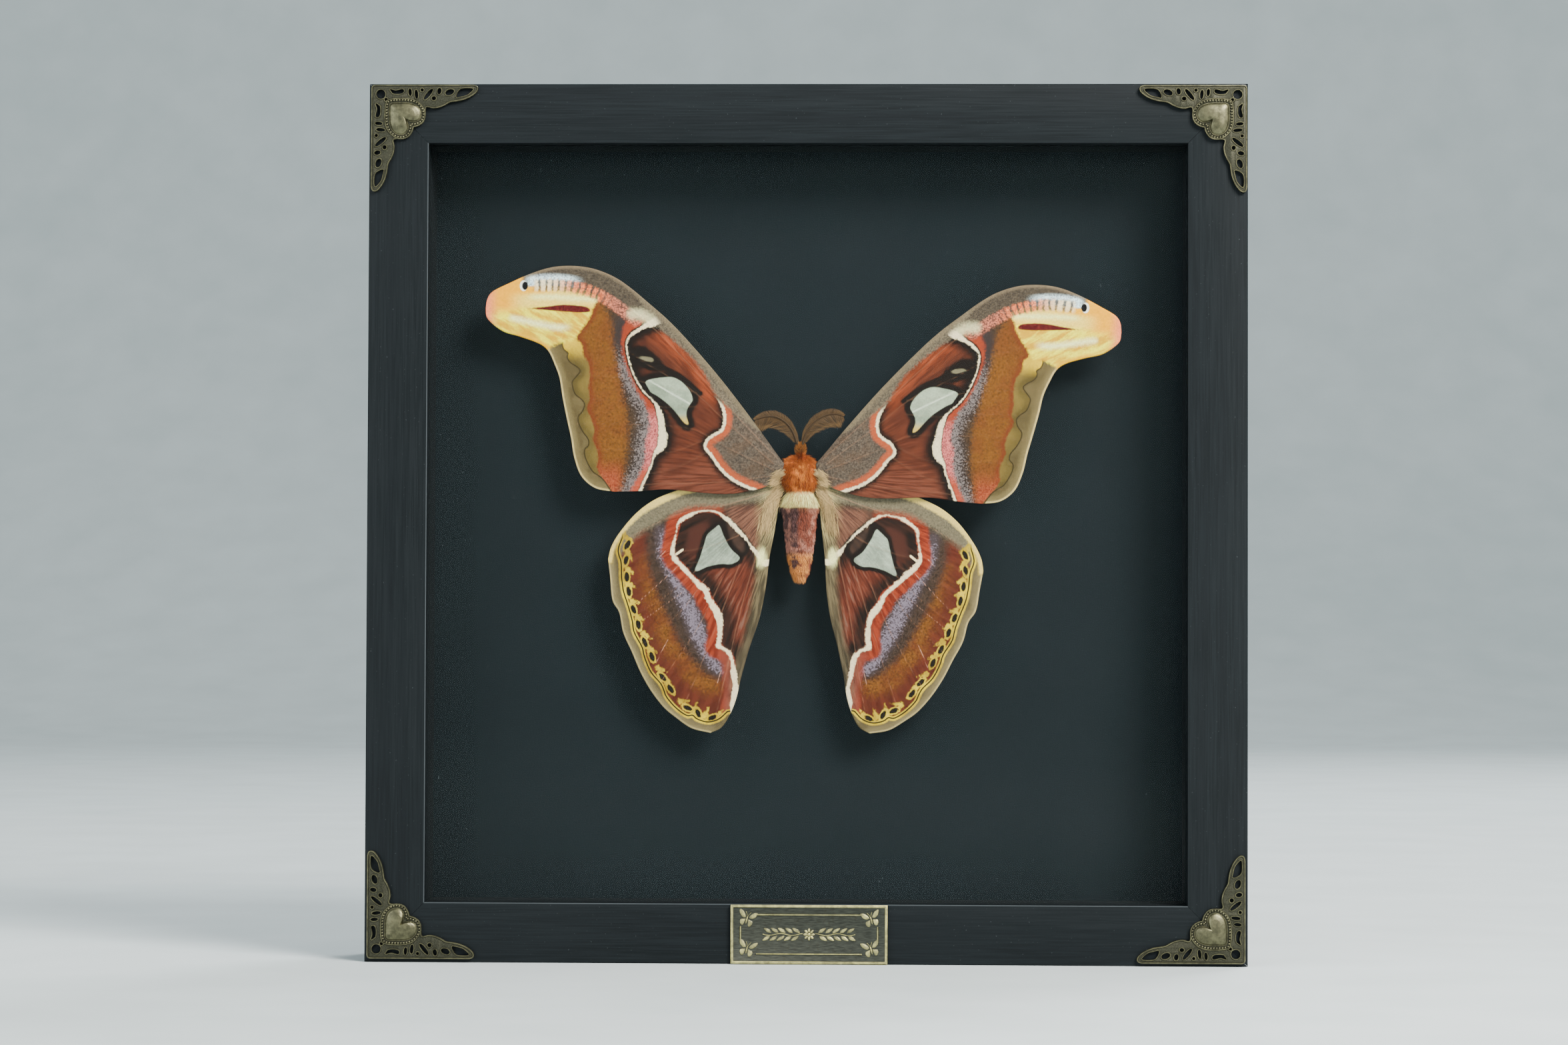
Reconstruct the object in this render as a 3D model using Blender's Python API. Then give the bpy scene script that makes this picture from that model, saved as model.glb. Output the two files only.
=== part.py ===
"""A framed moth specimen: a black shadow box with glass, pierced brass corners and a brass plate, and a spread
atlas moth standing off a cloth-covered board inside it.

Metres, +Z up. X runs to the viewer's right and Y runs from the front of the frame to its back. The origin is the
middle of the underside of the frame, the face that it stands on.
"""

import math

import bmesh
import bpy
from mathutils import Matrix, Vector

MM = 0.001

# The frame
SIDE = 305 * MM
DEPTH = 40 * MM
FACE = 20.7 * MM
LIP = 6 * MM
RABBET = 6 * MM
CHAMFER = 0.5 * MM
MITRE_GAP = 0.22 * MM
GAP = 0.3 * MM
HALF = SIDE / 2
# The brass stands 3.1 mm proud of the front and the nails 2.1 mm proud of the back, and Y 0 is midway between them
FRONT = -19.5 * MM

# What the rabbet holds, from the lip backwards
GLASS = 2 * MM
SPACER = 17.1 * MM
SPACER_WIDE = RABBET - GAP
BOARD = 4 * MM
PANEL = 3 * MM

# Pierced corners and the plate
CORNER_THICK = 0.9 * MM
PLATE_WIDE = 54.1 * MM
PLATE_HIGH = 20.3 * MM
PLATE_THICK = 1.2 * MM
PLATE_X = 1.5 * MM
PLATE_LOW = 0.25 * MM
RELIEF = 0.4 * MM
MOTIF = 0.33 * MM

# The moth: the middle of its thorax, seen from the front
MOTH_X = -2.6 * MM
MOTH_Z = 169.3 * MM
WING_THICK = 0.6 * MM
RIGHT_TURN = math.radians(4)
RIGHT_SIZE = 0.982

# Forewing outline of the left side, in millimetres from the middle of the thorax
FORE_COSTA = [
    (-5.4, 4.3), (-7.8, 7.3), (-16.5, 19.3), (-27.7, 33.8), (-38.9, 46.8), (-46.3, 54.5), (-53.3, 60.6),
    (-59.4, 65.7), (-65.4, 69.7), (-72.6, 72.5), (-79.9, 73.5), (-87.3, 73.0), (-94.8, 70.7), (-102.2, 67.4),
    (-107.8, 64.6), (-109.8, 62.0), (-110.4, 58.6),
]
FORE_MARGIN = [
    (-110.4, 58.6), (-109.7, 54.9), (-104.5, 50.6), (-98.5, 48.7), (-91.8, 46.3), (-88.4, 43.7), (-86.2, 39.2),
    (-84.3, 34.0), (-83.2, 27.3), (-81.5, 19.1), (-80.2, 13.2), (-79.0, 6.1), (-76.5, -0.3), (-71.7, -4.4),
    (-65.0, -5.7),
]
FORE_INNER = [
    (-65.0, -5.7), (-56.0, -5.5), (-46.3, -4.9), (-33.7, -6.1), (-24.0, -6.4), (-14.3, -4.7), (-9.3, -2.5),
    (-6.7, -1.3),
]
# Hindwing outline of the left side
HIND_COSTA = [
    (-6.7, -2.4), (-12.5, -2.0), (-25.0, -2.2), (-36.2, -3.2), (-44.4, -5.7), (-51.3, -8.7), (-57.5, -13.4),
    (-63.1, -20.0), (-66.0, -25.0), (-67.1, -29.3),
]
HIND_MARGIN = [
    (-67.1, -29.3), (-66.3, -36.2), (-65.5, -43.7), (-63.1, -48.1), (-61.7, -55.0), (-58.6, -61.9), (-55.6, -68.8),
    (-51.9, -75.3), (-47.5, -81.0), (-43.1, -84.7), (-37.6, -88.4), (-31.0, -90.0),
]
HIND_INNER = [
    (-31.0, -90.0), (-27.2, -88.2), (-24.3, -83.8), (-22.0, -78.0), (-20.3, -70.6), (-17.5, -60.6), (-14.0, -50.0),
    (-11.8, -39.4), (-10.6, -29.3), (-9.0, -20.6), (-7.8, -13.5), (-7.2, -9.2),
]


def clear_scene():
    for old in list(bpy.data.objects):
        bpy.data.objects.remove(old)


def behind_front(depth):
    """The Y of a place that lies this far behind the front face of the frame."""
    return FRONT + depth


def new_collection(name):
    collection = bpy.data.collections.new(name)
    bpy.context.scene.collection.children.link(collection)
    return collection


def material(name, colour, roughness, metallic=0.0, alpha=1.0):
    made = bpy.data.materials.new(name)
    made.use_nodes = True
    shader = made.node_tree.nodes["Principled BSDF"]
    shader.inputs["Base Color"].default_value = (*colour, 1)
    shader.inputs["Roughness"].default_value = roughness
    shader.inputs["Metallic"].default_value = metallic
    shader.inputs["Alpha"].default_value = alpha
    made.diffuse_color = (*colour, alpha)
    return made


def add(name, mesh, finish, collection, smooth=False):
    """An object for this mesh or bmesh, with its material."""
    if isinstance(mesh, bmesh.types.BMesh):
        bmesh.ops.recalc_face_normals(mesh, faces=mesh.faces)
        data = bpy.data.meshes.new(name)
        mesh.to_mesh(data)
        mesh.free()
    else:
        data = mesh
    if finish:
        data.materials.clear()
        data.materials.append(finish)
    if smooth:
        data.shade_smooth()
        data.set_sharp_from_angle(angle=math.radians(40))
    made = bpy.data.objects.new(name, data)
    collection.objects.link(made)
    return made


def slab(name, size, centre, finish, collection):
    block = bmesh.new()
    bmesh.ops.create_cube(block, size=1, matrix=Matrix.Diagonal((*size, 1)))
    made = add(name, block, finish, collection)
    made.location = centre
    return made


def as_mesh(curve_object, name):
    """The mesh of a curve object with its caps welded. The curve is removed."""
    bpy.context.view_layer.update()
    graph = bpy.context.evaluated_depsgraph_get()
    mesh = bpy.data.meshes.new_from_object(curve_object.evaluated_get(graph))
    mesh.name = name
    welded = bmesh.new()
    welded.from_mesh(mesh)
    bmesh.ops.remove_doubles(welded, verts=welded.verts, dist=0.00001)
    bmesh.ops.recalc_face_normals(welded, faces=welded.faces)
    welded.transform(curve_object.matrix_world)
    welded.to_mesh(mesh)
    welded.free()
    bpy.data.objects.remove(curve_object)
    return mesh


def flat_shape(name, loops, thick):
    """A plate with holes, from closed loops of (across, up) points in metres. It faces -Y, with its back at Y 0."""
    curve = bpy.data.curves.new(name, "CURVE")
    curve.dimensions = "2D"
    curve.fill_mode = "BOTH"
    curve.extrude = thick / 2
    for loop in loops:
        spline = curve.splines.new("POLY")
        spline.points.add(len(loop) - 1)
        for point, (across, up) in zip(spline.points, loop):
            point.co = (across, up, 0, 1)
        spline.use_cyclic_u = True
    made = bpy.data.objects.new(name, curve)
    bpy.context.scene.collection.objects.link(made)
    made.matrix_world = Matrix.Translation((0, -thick / 2, 0)) @ Matrix.Rotation(math.radians(90), 4, "X")
    return as_mesh(made, name)


def join(target, cutters, operation):
    """Booleans of target with each of the other objects, applied, and the others removed."""
    for other in cutters:
        modifier = target.modifiers.new("join", "BOOLEAN")
        modifier.operation = operation
        modifier.solver = "EXACT"
        modifier.object = other
        bpy.context.view_layer.update()
        graph = bpy.context.evaluated_depsgraph_get()
        result = bpy.data.meshes.new_from_object(target.evaluated_get(graph))
        target.modifiers.clear()
        target.data = result
        bpy.data.objects.remove(other)
    return target


class Track:
    """A smooth line through a few points, which gives the place at any share of its length."""

    STEPS = 10

    def __init__(self, points):
        line = [Vector(p) for p in points]
        ends = [2 * line[0] - line[1], *line, 2 * line[-1] - line[-2]]
        self.places = [line[0]]
        for before, start, end, after in zip(ends, ends[1:], ends[2:], ends[3:]):
            for step in range(1, self.STEPS + 1):
                t = step / self.STEPS
                self.places.append(0.5 * (
                    2 * start
                    + (end - before) * t
                    + (2 * before - 5 * start + 4 * end - after) * t ** 2
                    + (3 * start - before - 3 * end + after) * t ** 3
                ))
        self.lengths = [0.0]
        for a, b in zip(self.places, self.places[1:]):
            self.lengths.append(self.lengths[-1] + (b - a).length)

    def at(self, share):
        goal = share * self.lengths[-1]
        spans = range(len(self.places) - 1)
        index = next((i for i in spans if self.lengths[i + 1] >= goal), spans[-1])
        span = self.lengths[index + 1] - self.lengths[index]
        return self.places[index].lerp(self.places[index + 1], (goal - self.lengths[index]) / span)


def patch(costa, margin, inner):
    """The place in a wing at u, from the body to the margin, and v, from the costa to the inner edge."""
    front, outer, rear = Track(costa), Track(margin), Track(inner[::-1])
    root = Track([costa[0], inner[-1]])
    corners = [Vector(p) for p in (costa[0], costa[-1], inner[-1], inner[0])]

    def place(u, v):
        ruled = front.at(u) * (1 - v) + rear.at(u) * v + root.at(v) * (1 - u) + outer.at(v) * u
        flat = (corners[0] * (1 - u) + corners[1] * u) * (1 - v) + (corners[2] * (1 - u) + corners[3] * u) * v
        return ruled - flat

    return place


def to_right_side(pivot):
    """Turns a point of the left wing, in millimetres, to the right side, where the wings sit a little lower."""
    turn = Matrix.Rotation(-RIGHT_TURN, 2)
    centre = Vector((-pivot[0], pivot[1]))

    def placed(point):
        return centre + RIGHT_SIZE * (turn @ (Vector((-point.x, point.y)) - centre))

    return placed


def wing(name, outline, grid, depth, camber, side, pivot, finish, collection):
    place = patch(*outline)
    placed = to_right_side(pivot) if side == "right" else (lambda point: point)
    sheet = bmesh.new()
    bmesh.ops.create_grid(sheet, x_segments=grid[0], y_segments=grid[1], size=0.5)
    for vertex in sheet.verts:
        u, v = vertex.co.x + 0.5, vertex.co.y + 0.5
        point = placed(place(u, v))
        arch = camber * math.sin(math.pi * v) ** 2 * (1 - u ** 2)
        droop = 0.8 * u ** 3
        vertex.co = (
            MOTH_X + point.x * MM,
            behind_front(depth) + (droop - arch) * MM,
            MOTH_Z + point.y * MM,
        )
    sheet.normal_update()
    bmesh.ops.solidify(sheet, geom=sheet.faces, thickness=WING_THICK)
    return add(name, sheet, finish, collection, smooth=True)


def ball(name, radii, centre, segments, rings, finish, collection):
    """An ellipsoid."""
    body = bmesh.new()
    bmesh.ops.create_uvsphere(body, u_segments=segments, v_segments=rings, radius=1)
    bmesh.ops.scale(body, vec=radii, verts=body.verts)
    made = add(name, body, finish, collection, smooth=True)
    made.location = centre
    return made


def moulding(name, quarter_turns, finish, collection):
    """One mitred side of the frame, drawn as the bottom one and turned about the middle of the frame."""
    profile = [
        (0, CHAMFER), (CHAMFER, 0), (FACE - CHAMFER, 0), (FACE, CHAMFER), (FACE, LIP), (FACE - RABBET, LIP),
        (FACE - RABBET, DEPTH), (0, DEPTH),
    ]
    stick = bmesh.new()
    corners = [stick.verts.new((-1, behind_front(deep), inward - HALF)) for inward, deep in profile]
    end = stick.faces.new(corners)
    grown = bmesh.ops.extrude_face_region(stick, geom=[end])["geom"]
    bmesh.ops.translate(stick, verts=[g for g in grown if isinstance(g, bmesh.types.BMVert)], vec=(2, 0, 0))
    for vertex in stick.verts:
        vertex.co.x *= -vertex.co.z - MITRE_GAP
    made = add(name, stick, finish, collection)
    made.location = (0, 0, HALF)
    made.rotation_euler = (0, -quarter_turns * math.pi / 2, 0)
    return made


def build_frame(black_wood, collection):
    for quarter_turns, side in enumerate(("bottom", "right", "top", "left")):
        moulding(f"frame_{side}", quarter_turns, black_wood, collection)


def build_glazing(finishes, collection):
    """The glass, the spacers that keep it off the board, the board and the back panel."""
    inside = SIDE - 2 * (FACE - RABBET) - 2 * GAP
    deep = LIP + GAP
    slab("glass", (inside, GLASS, inside), (0, behind_front(deep + GLASS / 2), HALF), finishes["glass"], collection)
    deep += GLASS + GAP
    middle = behind_front(deep + SPACER / 2)
    reach = (inside - SPACER_WIDE) / 2
    upright = inside - 2 * SPACER_WIDE - 2 * GAP
    for name, sign in (("bottom", -1), ("top", 1)):
        size = (inside, SPACER, SPACER_WIDE)
        slab(f"spacer_{name}", size, (0, middle, HALF + sign * reach), finishes["black_card"], collection)
    for name, sign in (("left", -1), ("right", 1)):
        size = (SPACER_WIDE, SPACER, upright)
        slab(f"spacer_{name}", size, (sign * reach, middle, HALF), finishes["black_card"], collection)
    deep += SPACER + GAP
    slab("backing_board", (inside, BOARD, inside), (0, behind_front(deep + BOARD / 2), HALF), finishes["cloth"],
         collection)
    board_front = deep
    deep += BOARD + GAP
    slab("back_panel", (inside, PANEL, inside), (0, behind_front(deep + PANEL / 2), HALF), finishes["fibreboard"],
         collection)
    return board_front, deep + PANEL


def swapped(loop):
    """The same loop on the other side of a corner's diagonal."""
    return [(b, a) for a, b in loop][::-1]


def oval(centre, length, width, angle, points=8):
    """An oval hole: its centre, its size in millimetres and the angle of its length in degrees."""
    turn = Matrix.Rotation(math.radians(angle), 2)
    made = []
    for index in range(points):
        t = 2 * math.pi * index / points
        made.append(tuple(Vector(centre) + turn @ Vector((length / 2 * math.cos(t), width / 2 * math.sin(t)))))
    return made


# One leg of a pierced corner, in millimetres from its outer corner along the leg and in from the edge
CORNER_EDGE = [
    (1.2, 0), (37.0, 0), (37.6, 0.8), (37.3, 1.9), (36.2, 3.3), (34.3, 4.6), (32.0, 5.5), (30.0, 5.9), (27.6, 6.3),
    (25.8, 7.3), (23.8, 8.1), (21.6, 8.4), (19.4, 8.0), (19.1, 9.8), (19.0, 11.6), (18.2, 13.3), (16.7, 14.4),
]
CORNER_NOTCH = (15.0, 15.0)
CORNER_POINT = (0.35, 0.35)
# Round and oval holes: middle, length, width and the angle of the length in degrees
CORNER_DIAGONAL_HOLES = [((3.4, 3.4), 3.1, 3.0, 45), ((5.3, 5.3), 1.1, 0.9, 45)]
CORNER_LEG_HOLES = [
    ((13.6, 2.7), 2.4, 0.95, 85), ((15.8, 3.4), 3.0, 1.0, 84), ((17.8, 1.9), 0.9, 0.9, 0), ((20.0, 3.4), 4.6, 1.2, -51),
    ((21.9, 4.8), 1.3, 1.2, 0), ((23.8, 2.3), 2.0, 1.3, 100), ((27.4, 2.7), 3.0, 1.8, -20),
]
CORNER_SLOT = [(6.6, 1.7), (8.6, 2.2), (11.0, 1.7), (11.2, 2.7), (9.6, 3.2), (7.2, 2.9)]
CORNER_TIP_HOLE = [(29.8, 4.5), (31.2, 1.7), (35.3, 1.5), (34.6, 2.7), (32.7, 3.9)]
# The upper half of the domed heart, from its point to the notch between its lobes
HEART_HALF = [
    (6.7, 6.7), (7.6, 6.3), (9.8, 6.25), (13.2, 6.35), (15.7, 7.1), (17.2, 8.6), (17.7, 10.4), (17.2, 12.0),
    (15.8, 13.0), (14.2, 13.1), (12.7, 12.7),
]
HEART_RISE = [(1.0, 0.0), (0.95, 1.5), (0.62, 2.4)]


def corner_mesh():
    """A pierced corner with a domed heart. Its outer corner is the origin and its legs run along +X and -Z."""
    loops = [CORNER_EDGE + [CORNER_NOTCH] + swapped(CORNER_EDGE) + [CORNER_POINT]]
    loops += [oval(*hole) for hole in CORNER_DIAGONAL_HOLES]
    for hole in CORNER_LEG_HOLES:
        loop = oval(*hole, points=6 if hole[1] > 1.5 else 5)
        loops += [loop, swapped(loop)]
    for loop in (CORNER_SLOT, CORNER_TIP_HOLE):
        loops += [loop, swapped(loop)]
    return flat_shape("corner", [[(a * MM, -b * MM) for a, b in loop] for loop in loops], CORNER_THICK)


def heart_dome():
    """The domed heart of a corner, its point turned to the outer corner."""
    outline = [Vector(p) for p in HEART_HALF + swapped(HEART_HALF)[1:-1]]
    middle = Vector((HEART_HALF[-1][0] - 1.4, HEART_HALF[-1][1] - 1.4))
    dome = bmesh.new()
    rings = []
    for share, height in HEART_RISE:
        places = [middle + share * (point - middle) for point in outline]
        rings.append([dome.verts.new((p.x * MM, -(height + 0.3) * MM, -p.y * MM)) for p in places])
    for lower, upper in zip(rings, rings[1:]):
        for index, vertex in enumerate(lower):
            after = (index + 1) % len(lower)
            dome.faces.new((vertex, lower[after], upper[after], upper[index]))
    for ring in (rings[0], rings[-1]):
        dome.faces.new(ring)
    bmesh.ops.triangulate(dome, faces=dome.faces)
    return dome


def build_corners(brass, collection, scratch):
    """The four pierced corners. Each is set in a little from the frame's edges, as (across, up) in millimetres."""
    base = add("corner_pattern", corner_mesh(), brass, scratch)
    dome = add("heart_pattern", heart_dome(), brass, scratch)
    pattern = join(base, [dome], "UNION").data
    set_in = {"top_left": (0.7, 0.4), "top_right": (0.3, 0.6), "bottom_right": (0.9, 1.0), "bottom_left": (0.9, 1.2)}
    for quarter_turns, (corner, (across, up)) in enumerate(set_in.items()):
        sign_x = -1 if "left" in corner else 1
        sign_z = -1 if "bottom" in corner else 1
        mesh = pattern.copy()
        made = add(f"corner_{corner}", mesh, brass, collection, smooth=True)
        made.location = (sign_x * (HALF - across * MM), FRONT - GAP, HALF + sign_z * (HALF - up * MM))
        made.rotation_euler = (0, quarter_turns * math.pi / 2, 0)
    bpy.data.objects.remove(base)


# The right half of a small butterfly, in millimetres, from its head round to the end of its body
BUTTERFLY = [
    (0.3, 1.2), (1.3, 2.3), (2.9, 2.9), (3.2, 2.2), (2.5, 0.7), (1.7, 0.1), (2.2, -0.9), (1.7, -2.1), (0.9, -2.2),
    (0.35, -0.8), (0.25, -1.75),
]
LEAF = [(0, 0), (1.0, 0.7), (2.3, 0.6), (3.4, 0), (2.3, -0.5), (1.0, -0.5)]
LEAF_PAIRS = 3
PLATE_RIM = 1.2
PLATE_LINE = (3.4, 0.5)
BUTTERFLY_INSET = (5.6, 5.0)


def moved(loop, at, angle=0.0, mirror=False):
    turn = Matrix.Rotation(math.radians(angle), 2)
    made = [tuple(Vector(at) + turn @ Vector((-x if mirror else x, y))) for x, y in loop]
    return made[::-1] if mirror else made


def rectangle(left, low, right, high):
    return [(left, low), (right, low), (right, high), (left, high)]


def sprig(reach):
    """A stem with paired leaves to both sides of a round flower: what the plate bears in its middle."""
    loops = [[(1.35 * math.cos(t), 1.35 * math.sin(t)) for t in (math.tau * i / 10 for i in range(10))]]
    for mirror in (False, True):
        loops.append(moved(rectangle(1.7, -0.2, reach, 0.2), (0, 0), 0, mirror))
        for index in range(LEAF_PAIRS):
            start = 3.0 + index * (reach - 4.6) / LEAF_PAIRS
            loops.append(moved(LEAF, (start if not mirror else -start, 0.4), 38 if not mirror else -38, mirror))
            low = [(x, -y) for x, y in LEAF][::-1]
            loops.append(moved(low, (start if not mirror else -start, -0.4), -38 if not mirror else 38, mirror))
    return loops


def plate_motifs(wide, high):
    """The raised lines, butterflies and sprig inside the plate's border."""
    inset, line = PLATE_LINE
    at_x, at_z = wide - BUTTERFLY_INSET[0], high - BUTTERFLY_INSET[1]
    butterfly = BUTTERFLY + [(-x, y) for x, y in BUTTERFLY[::-1]]
    loops = [moved(butterfly, (sign_x * at_x, sign_z * at_z)) for sign_x in (-1, 1) for sign_z in (-1, 1)]
    for sign in (-1, 1):
        level = sign * (high - inset)
        loops.append(rectangle(4.6 - at_x, level - line / 2, at_x - 4.6, level + line / 2))
        upright = sign * (wide - inset)
        loops.append(rectangle(upright - line / 2, 3.8 - at_z, upright + line / 2, at_z - 3.8))
    return loops + sprig(at_x - 5.0)


def build_plate(brass, collection, scratch):
    plate = slab("name_plate", (PLATE_WIDE, PLATE_THICK, PLATE_HIGH), (0, 0, 0), brass, collection)
    front = -PLATE_THICK / 2
    field_size = (PLATE_WIDE - 2 * PLATE_RIM * MM, 2 * RELIEF, PLATE_HIGH - 2 * PLATE_RIM * MM)
    join(plate, [slab("field", field_size, (0, front, 0), None, scratch)], "DIFFERENCE")
    sunk = 0.3 * MM
    loops = plate_motifs(PLATE_WIDE / MM / 2, PLATE_HIGH / MM / 2)
    mesh = flat_shape("relief", [[(x * MM, z * MM) for x, z in loop] for loop in loops], MOTIF + sunk)
    relief = add("relief", mesh, brass, scratch)
    relief.location.y = front + RELIEF + sunk
    join(plate, [relief], "UNION")
    plate.location = (PLATE_X, FRONT - GAP - PLATE_THICK / 2, PLATE_LOW + PLATE_HIGH / 2)


# Depths behind the front of the frame, in millimetres
FOREWING_DEPTH = 13.2
HINDWING_DEPTH = 15.2
THORAX_DEPTH = 15.9
THORAX_RADII = (6.5, 5.4, 7.2)
CLEARANCE = 0.35
ANTENNA_DEPTH = 13.6
HEAD_AT = (0.3, 14.6, 9.2)
HEAD_RADII = (2.3, 2.4, 2.2)
ABDOMEN_SEGMENTS = 8
ABDOMEN_TOP = -5.2
ABDOMEN_LONG = 31.3


def build_wings(finishes, collection):
    pieces = (
        ("forewing", (FORE_COSTA, FORE_MARGIN, FORE_INNER), (17, 14), FOREWING_DEPTH, 1.3, (-6, 1)),
        ("hindwing", (HIND_COSTA, HIND_MARGIN, HIND_INNER), (11, 12), HINDWING_DEPTH, 0.9, (-6, -6)),
    )
    for side in ("left", "right"):
        for name, outline, grid, depth, camber, pivot in pieces:
            wing(f"{name}_{side}", outline, grid, depth * MM, camber, side, pivot, finishes["wing"], collection)


def abdomen_profile():
    """Radius at each height down the abdomen, with a waist between its segments, as (radius, z) from the top."""
    width = Track([(4.9, 0), (6.0, 3.4), (5.9, 6.4), (5.3, 13.7), (4.6, 19.7), (3.8, 24.7), (2.8, 28.7), (1.5, 31)])
    profile = [(0.0, 0.0)]
    steps = 2 * ABDOMEN_SEGMENTS
    for step in range(steps + 1):
        radius, down = width.at(step / steps)
        waist = 0.3 if step % 2 == 0 and 0 < step < steps else 0
        profile.append((radius - waist, -down))
    profile.append((0.0, -ABDOMEN_LONG))
    return profile


def build_abdomen(finish, collection):
    turned = bmesh.new()
    ring = [turned.verts.new((radius * MM, 0, z * MM)) for radius, z in abdomen_profile()]
    edges = [turned.edges.new(pair) for pair in zip(ring, ring[1:])]
    bmesh.ops.spin(
        turned, geom=ring + edges, cent=(0, 0, 0), axis=(0, 0, 1), angle=math.tau, steps=12, use_merge=True,
        use_duplicate=False,
    )
    bmesh.ops.remove_doubles(turned, verts=turned.verts, dist=0.00001)
    bmesh.ops.scale(turned, vec=(1, 0.86, 1), verts=turned.verts)
    made = add("abdomen", turned, finish, collection, smooth=True)
    made.location = (MOTH_X + 0.1 * MM, behind_front((THORAX_DEPTH + 0.2) * MM), MOTH_Z + ABDOMEN_TOP * MM)
    return made


def build_head(finish, collection, scratch):
    """The head with its two eyes and the pair of palps under it."""
    x, deep, z = HEAD_AT
    centre = Vector((MOTH_X + x * MM, behind_front(deep * MM), MOTH_Z + z * MM))
    head = ball("head", [r * MM for r in HEAD_RADII], centre, 14, 9, finish, collection)
    for sign in (-1, 1):
        eye = ball(
            "eye", [1.1 * MM] * 3, centre + Vector((sign * 1.6, 0.4, 0.5)) * MM, 8, 6, finish, scratch
        )
        join(head, [eye], "UNION")


ANTENNA_TEETH = 14
# Left and right antennae: the stalk's line from the head to the tip, in millimetres from the middle of the thorax
ANTENNA_STALK = {
    "left": [(-0.7, 11.5), (-2.2, 14.9), (-4.6, 18.3), (-8.2, 20.5), (-12.0, 20.6), (-15.8, 19.4)],
    "right": [(1.0, 11.5), (2.4, 15.2), (5.2, 18.8), (8.8, 21.0), (12.4, 21.6), (15.3, 20.8)],
}


def antenna_loop(side):
    """The outline of a feathered antenna: a tooth at each barb, short ones above the stalk and long ones below it."""
    track = Track(ANTENNA_STALK[side])
    sign = -1 if side == "left" else 1
    above, below = [], []
    for index in range(2 * ANTENNA_TEETH + 1):
        share = index / (2 * ANTENNA_TEETH)
        point = track.at(share)
        ahead = (track.at(min(1, share + 0.02)) - track.at(max(0, share - 0.02))).normalized()
        out = Vector((-ahead.y, ahead.x)) * sign
        swell = math.sin(math.pi * share ** 0.8) ** 0.7 if 0 < share < 1 else 0
        tooth = 1.0 if index % 2 else 0.82
        slant = ahead * (0.35 if index % 2 else 0)
        above.append(point + out * (0.3 + 1.7 * swell * tooth) + slant)
        below.append(point - out * (0.3 + 4.6 * swell * tooth) + slant)
    return [tuple(p) for p in above + below[::-1]]


def build_antennae(finish, collection, scratch):
    for side in ("left", "right"):
        loop = [(x * MM, z * MM) for x, z in antenna_loop(side)]
        blade_mesh = flat_shape("blade", [loop], 0.45 * MM)
        made = add(f"antenna_{side}", blade_mesh, finish, collection)
        stalk = bpy.data.curves.new("stalk", "CURVE")
        stalk.dimensions = "3D"
        stalk.bevel_depth = 0.38 * MM
        stalk.bevel_resolution = 1
        stalk.use_fill_caps = True
        spline = stalk.splines.new("POLY")
        track = Track(ANTENNA_STALK[side])
        stations = [0.0, 0.12, 0.25, 0.4, 0.55, 0.7, 0.85, 0.98]
        spline.points.add(len(stations) - 1)
        for point, share in zip(spline.points, stations):
            x, z = track.at(share)
            point.co = (x * MM, -0.3 * MM, z * MM, 1)
            point.radius = 1.15 - 0.6 * share
        tube = bpy.data.objects.new("stalk", stalk)
        scratch.objects.link(tube)
        rod = add("stalk_rod", as_mesh(tube, "stalk_rod"), finish, scratch)
        join(made, [rod], "UNION")
        made.location = (MOTH_X, behind_front(ANTENNA_DEPTH * MM), MOTH_Z)


def build_moth(finishes, collection, scratch, board_front):
    centre = (MOTH_X, behind_front(THORAX_DEPTH * MM), MOTH_Z)
    ball("thorax", [r * MM for r in THORAX_RADII], centre, 16, 10, finishes["fur"], collection)
    build_head(finishes["fur"], collection, scratch)
    abdomen = build_abdomen(finishes["fur"], collection)
    for piece in (abdomen, collection.objects["head"]):
        radii = [(r + CLEARANCE) * MM for r in THORAX_RADII]
        join(piece, [ball("thorax_cutter", radii, centre, 18, 12, None, scratch)], "DIFFERENCE")
    build_antennae(finishes["feeler"], collection, scratch)
    build_wings(finishes, collection)
    under_thorax = (THORAX_DEPTH + THORAX_RADII[1]) * MM + GAP
    pad_thick = board_front - GAP - under_thorax
    slab("riser_pad", (6 * MM, pad_thick, 8 * MM), (MOTH_X, behind_front(under_thorax + pad_thick / 2), MOTH_Z),
         finishes["black_card"], collection)


def build_hanger(steel, collection):
    """A saw-toothed hanger across the back of the top member, with the heads of its two nails."""
    teeth, wide, high, thick = 9, 44.0, 8.0, 0.8
    loop = [(-wide / 2, high / 2), (-wide / 2, -high / 2), (-wide / 2 + 8, -high / 2)]
    pitch = (wide - 16) / teeth
    for index in range(teeth):
        left = -wide / 2 + 8 + index * pitch
        loop += [(left + pitch / 2, -high / 2 + 1.8), (left + pitch, -high / 2)]
    loop += [(wide / 2, -high / 2), (wide / 2, high / 2)]
    mesh = flat_shape("hanger", [[(x * MM, z * MM) for x, z in loop[::-1]]], thick * MM)
    made = add("hanger", mesh, steel, collection)
    level = SIDE - 8 * MM
    made.location = (0, behind_front(DEPTH) + GAP + thick * MM, level)
    for name, sign in (("left", -1), ("right", 1)):
        nail = bmesh.new()
        bmesh.ops.create_cone(
            nail, cap_ends=True, segments=12, radius1=1.9 * MM, radius2=1.3 * MM, depth=0.7 * MM,
            matrix=Matrix.Rotation(math.radians(-90), 4, "X"),
        )
        head = add(f"hanger_nail_{name}", nail, steel, collection)
        head.location = (sign * 18 * MM, behind_front(DEPTH) + 2 * GAP + (thick + 0.35) * MM, level)


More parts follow.
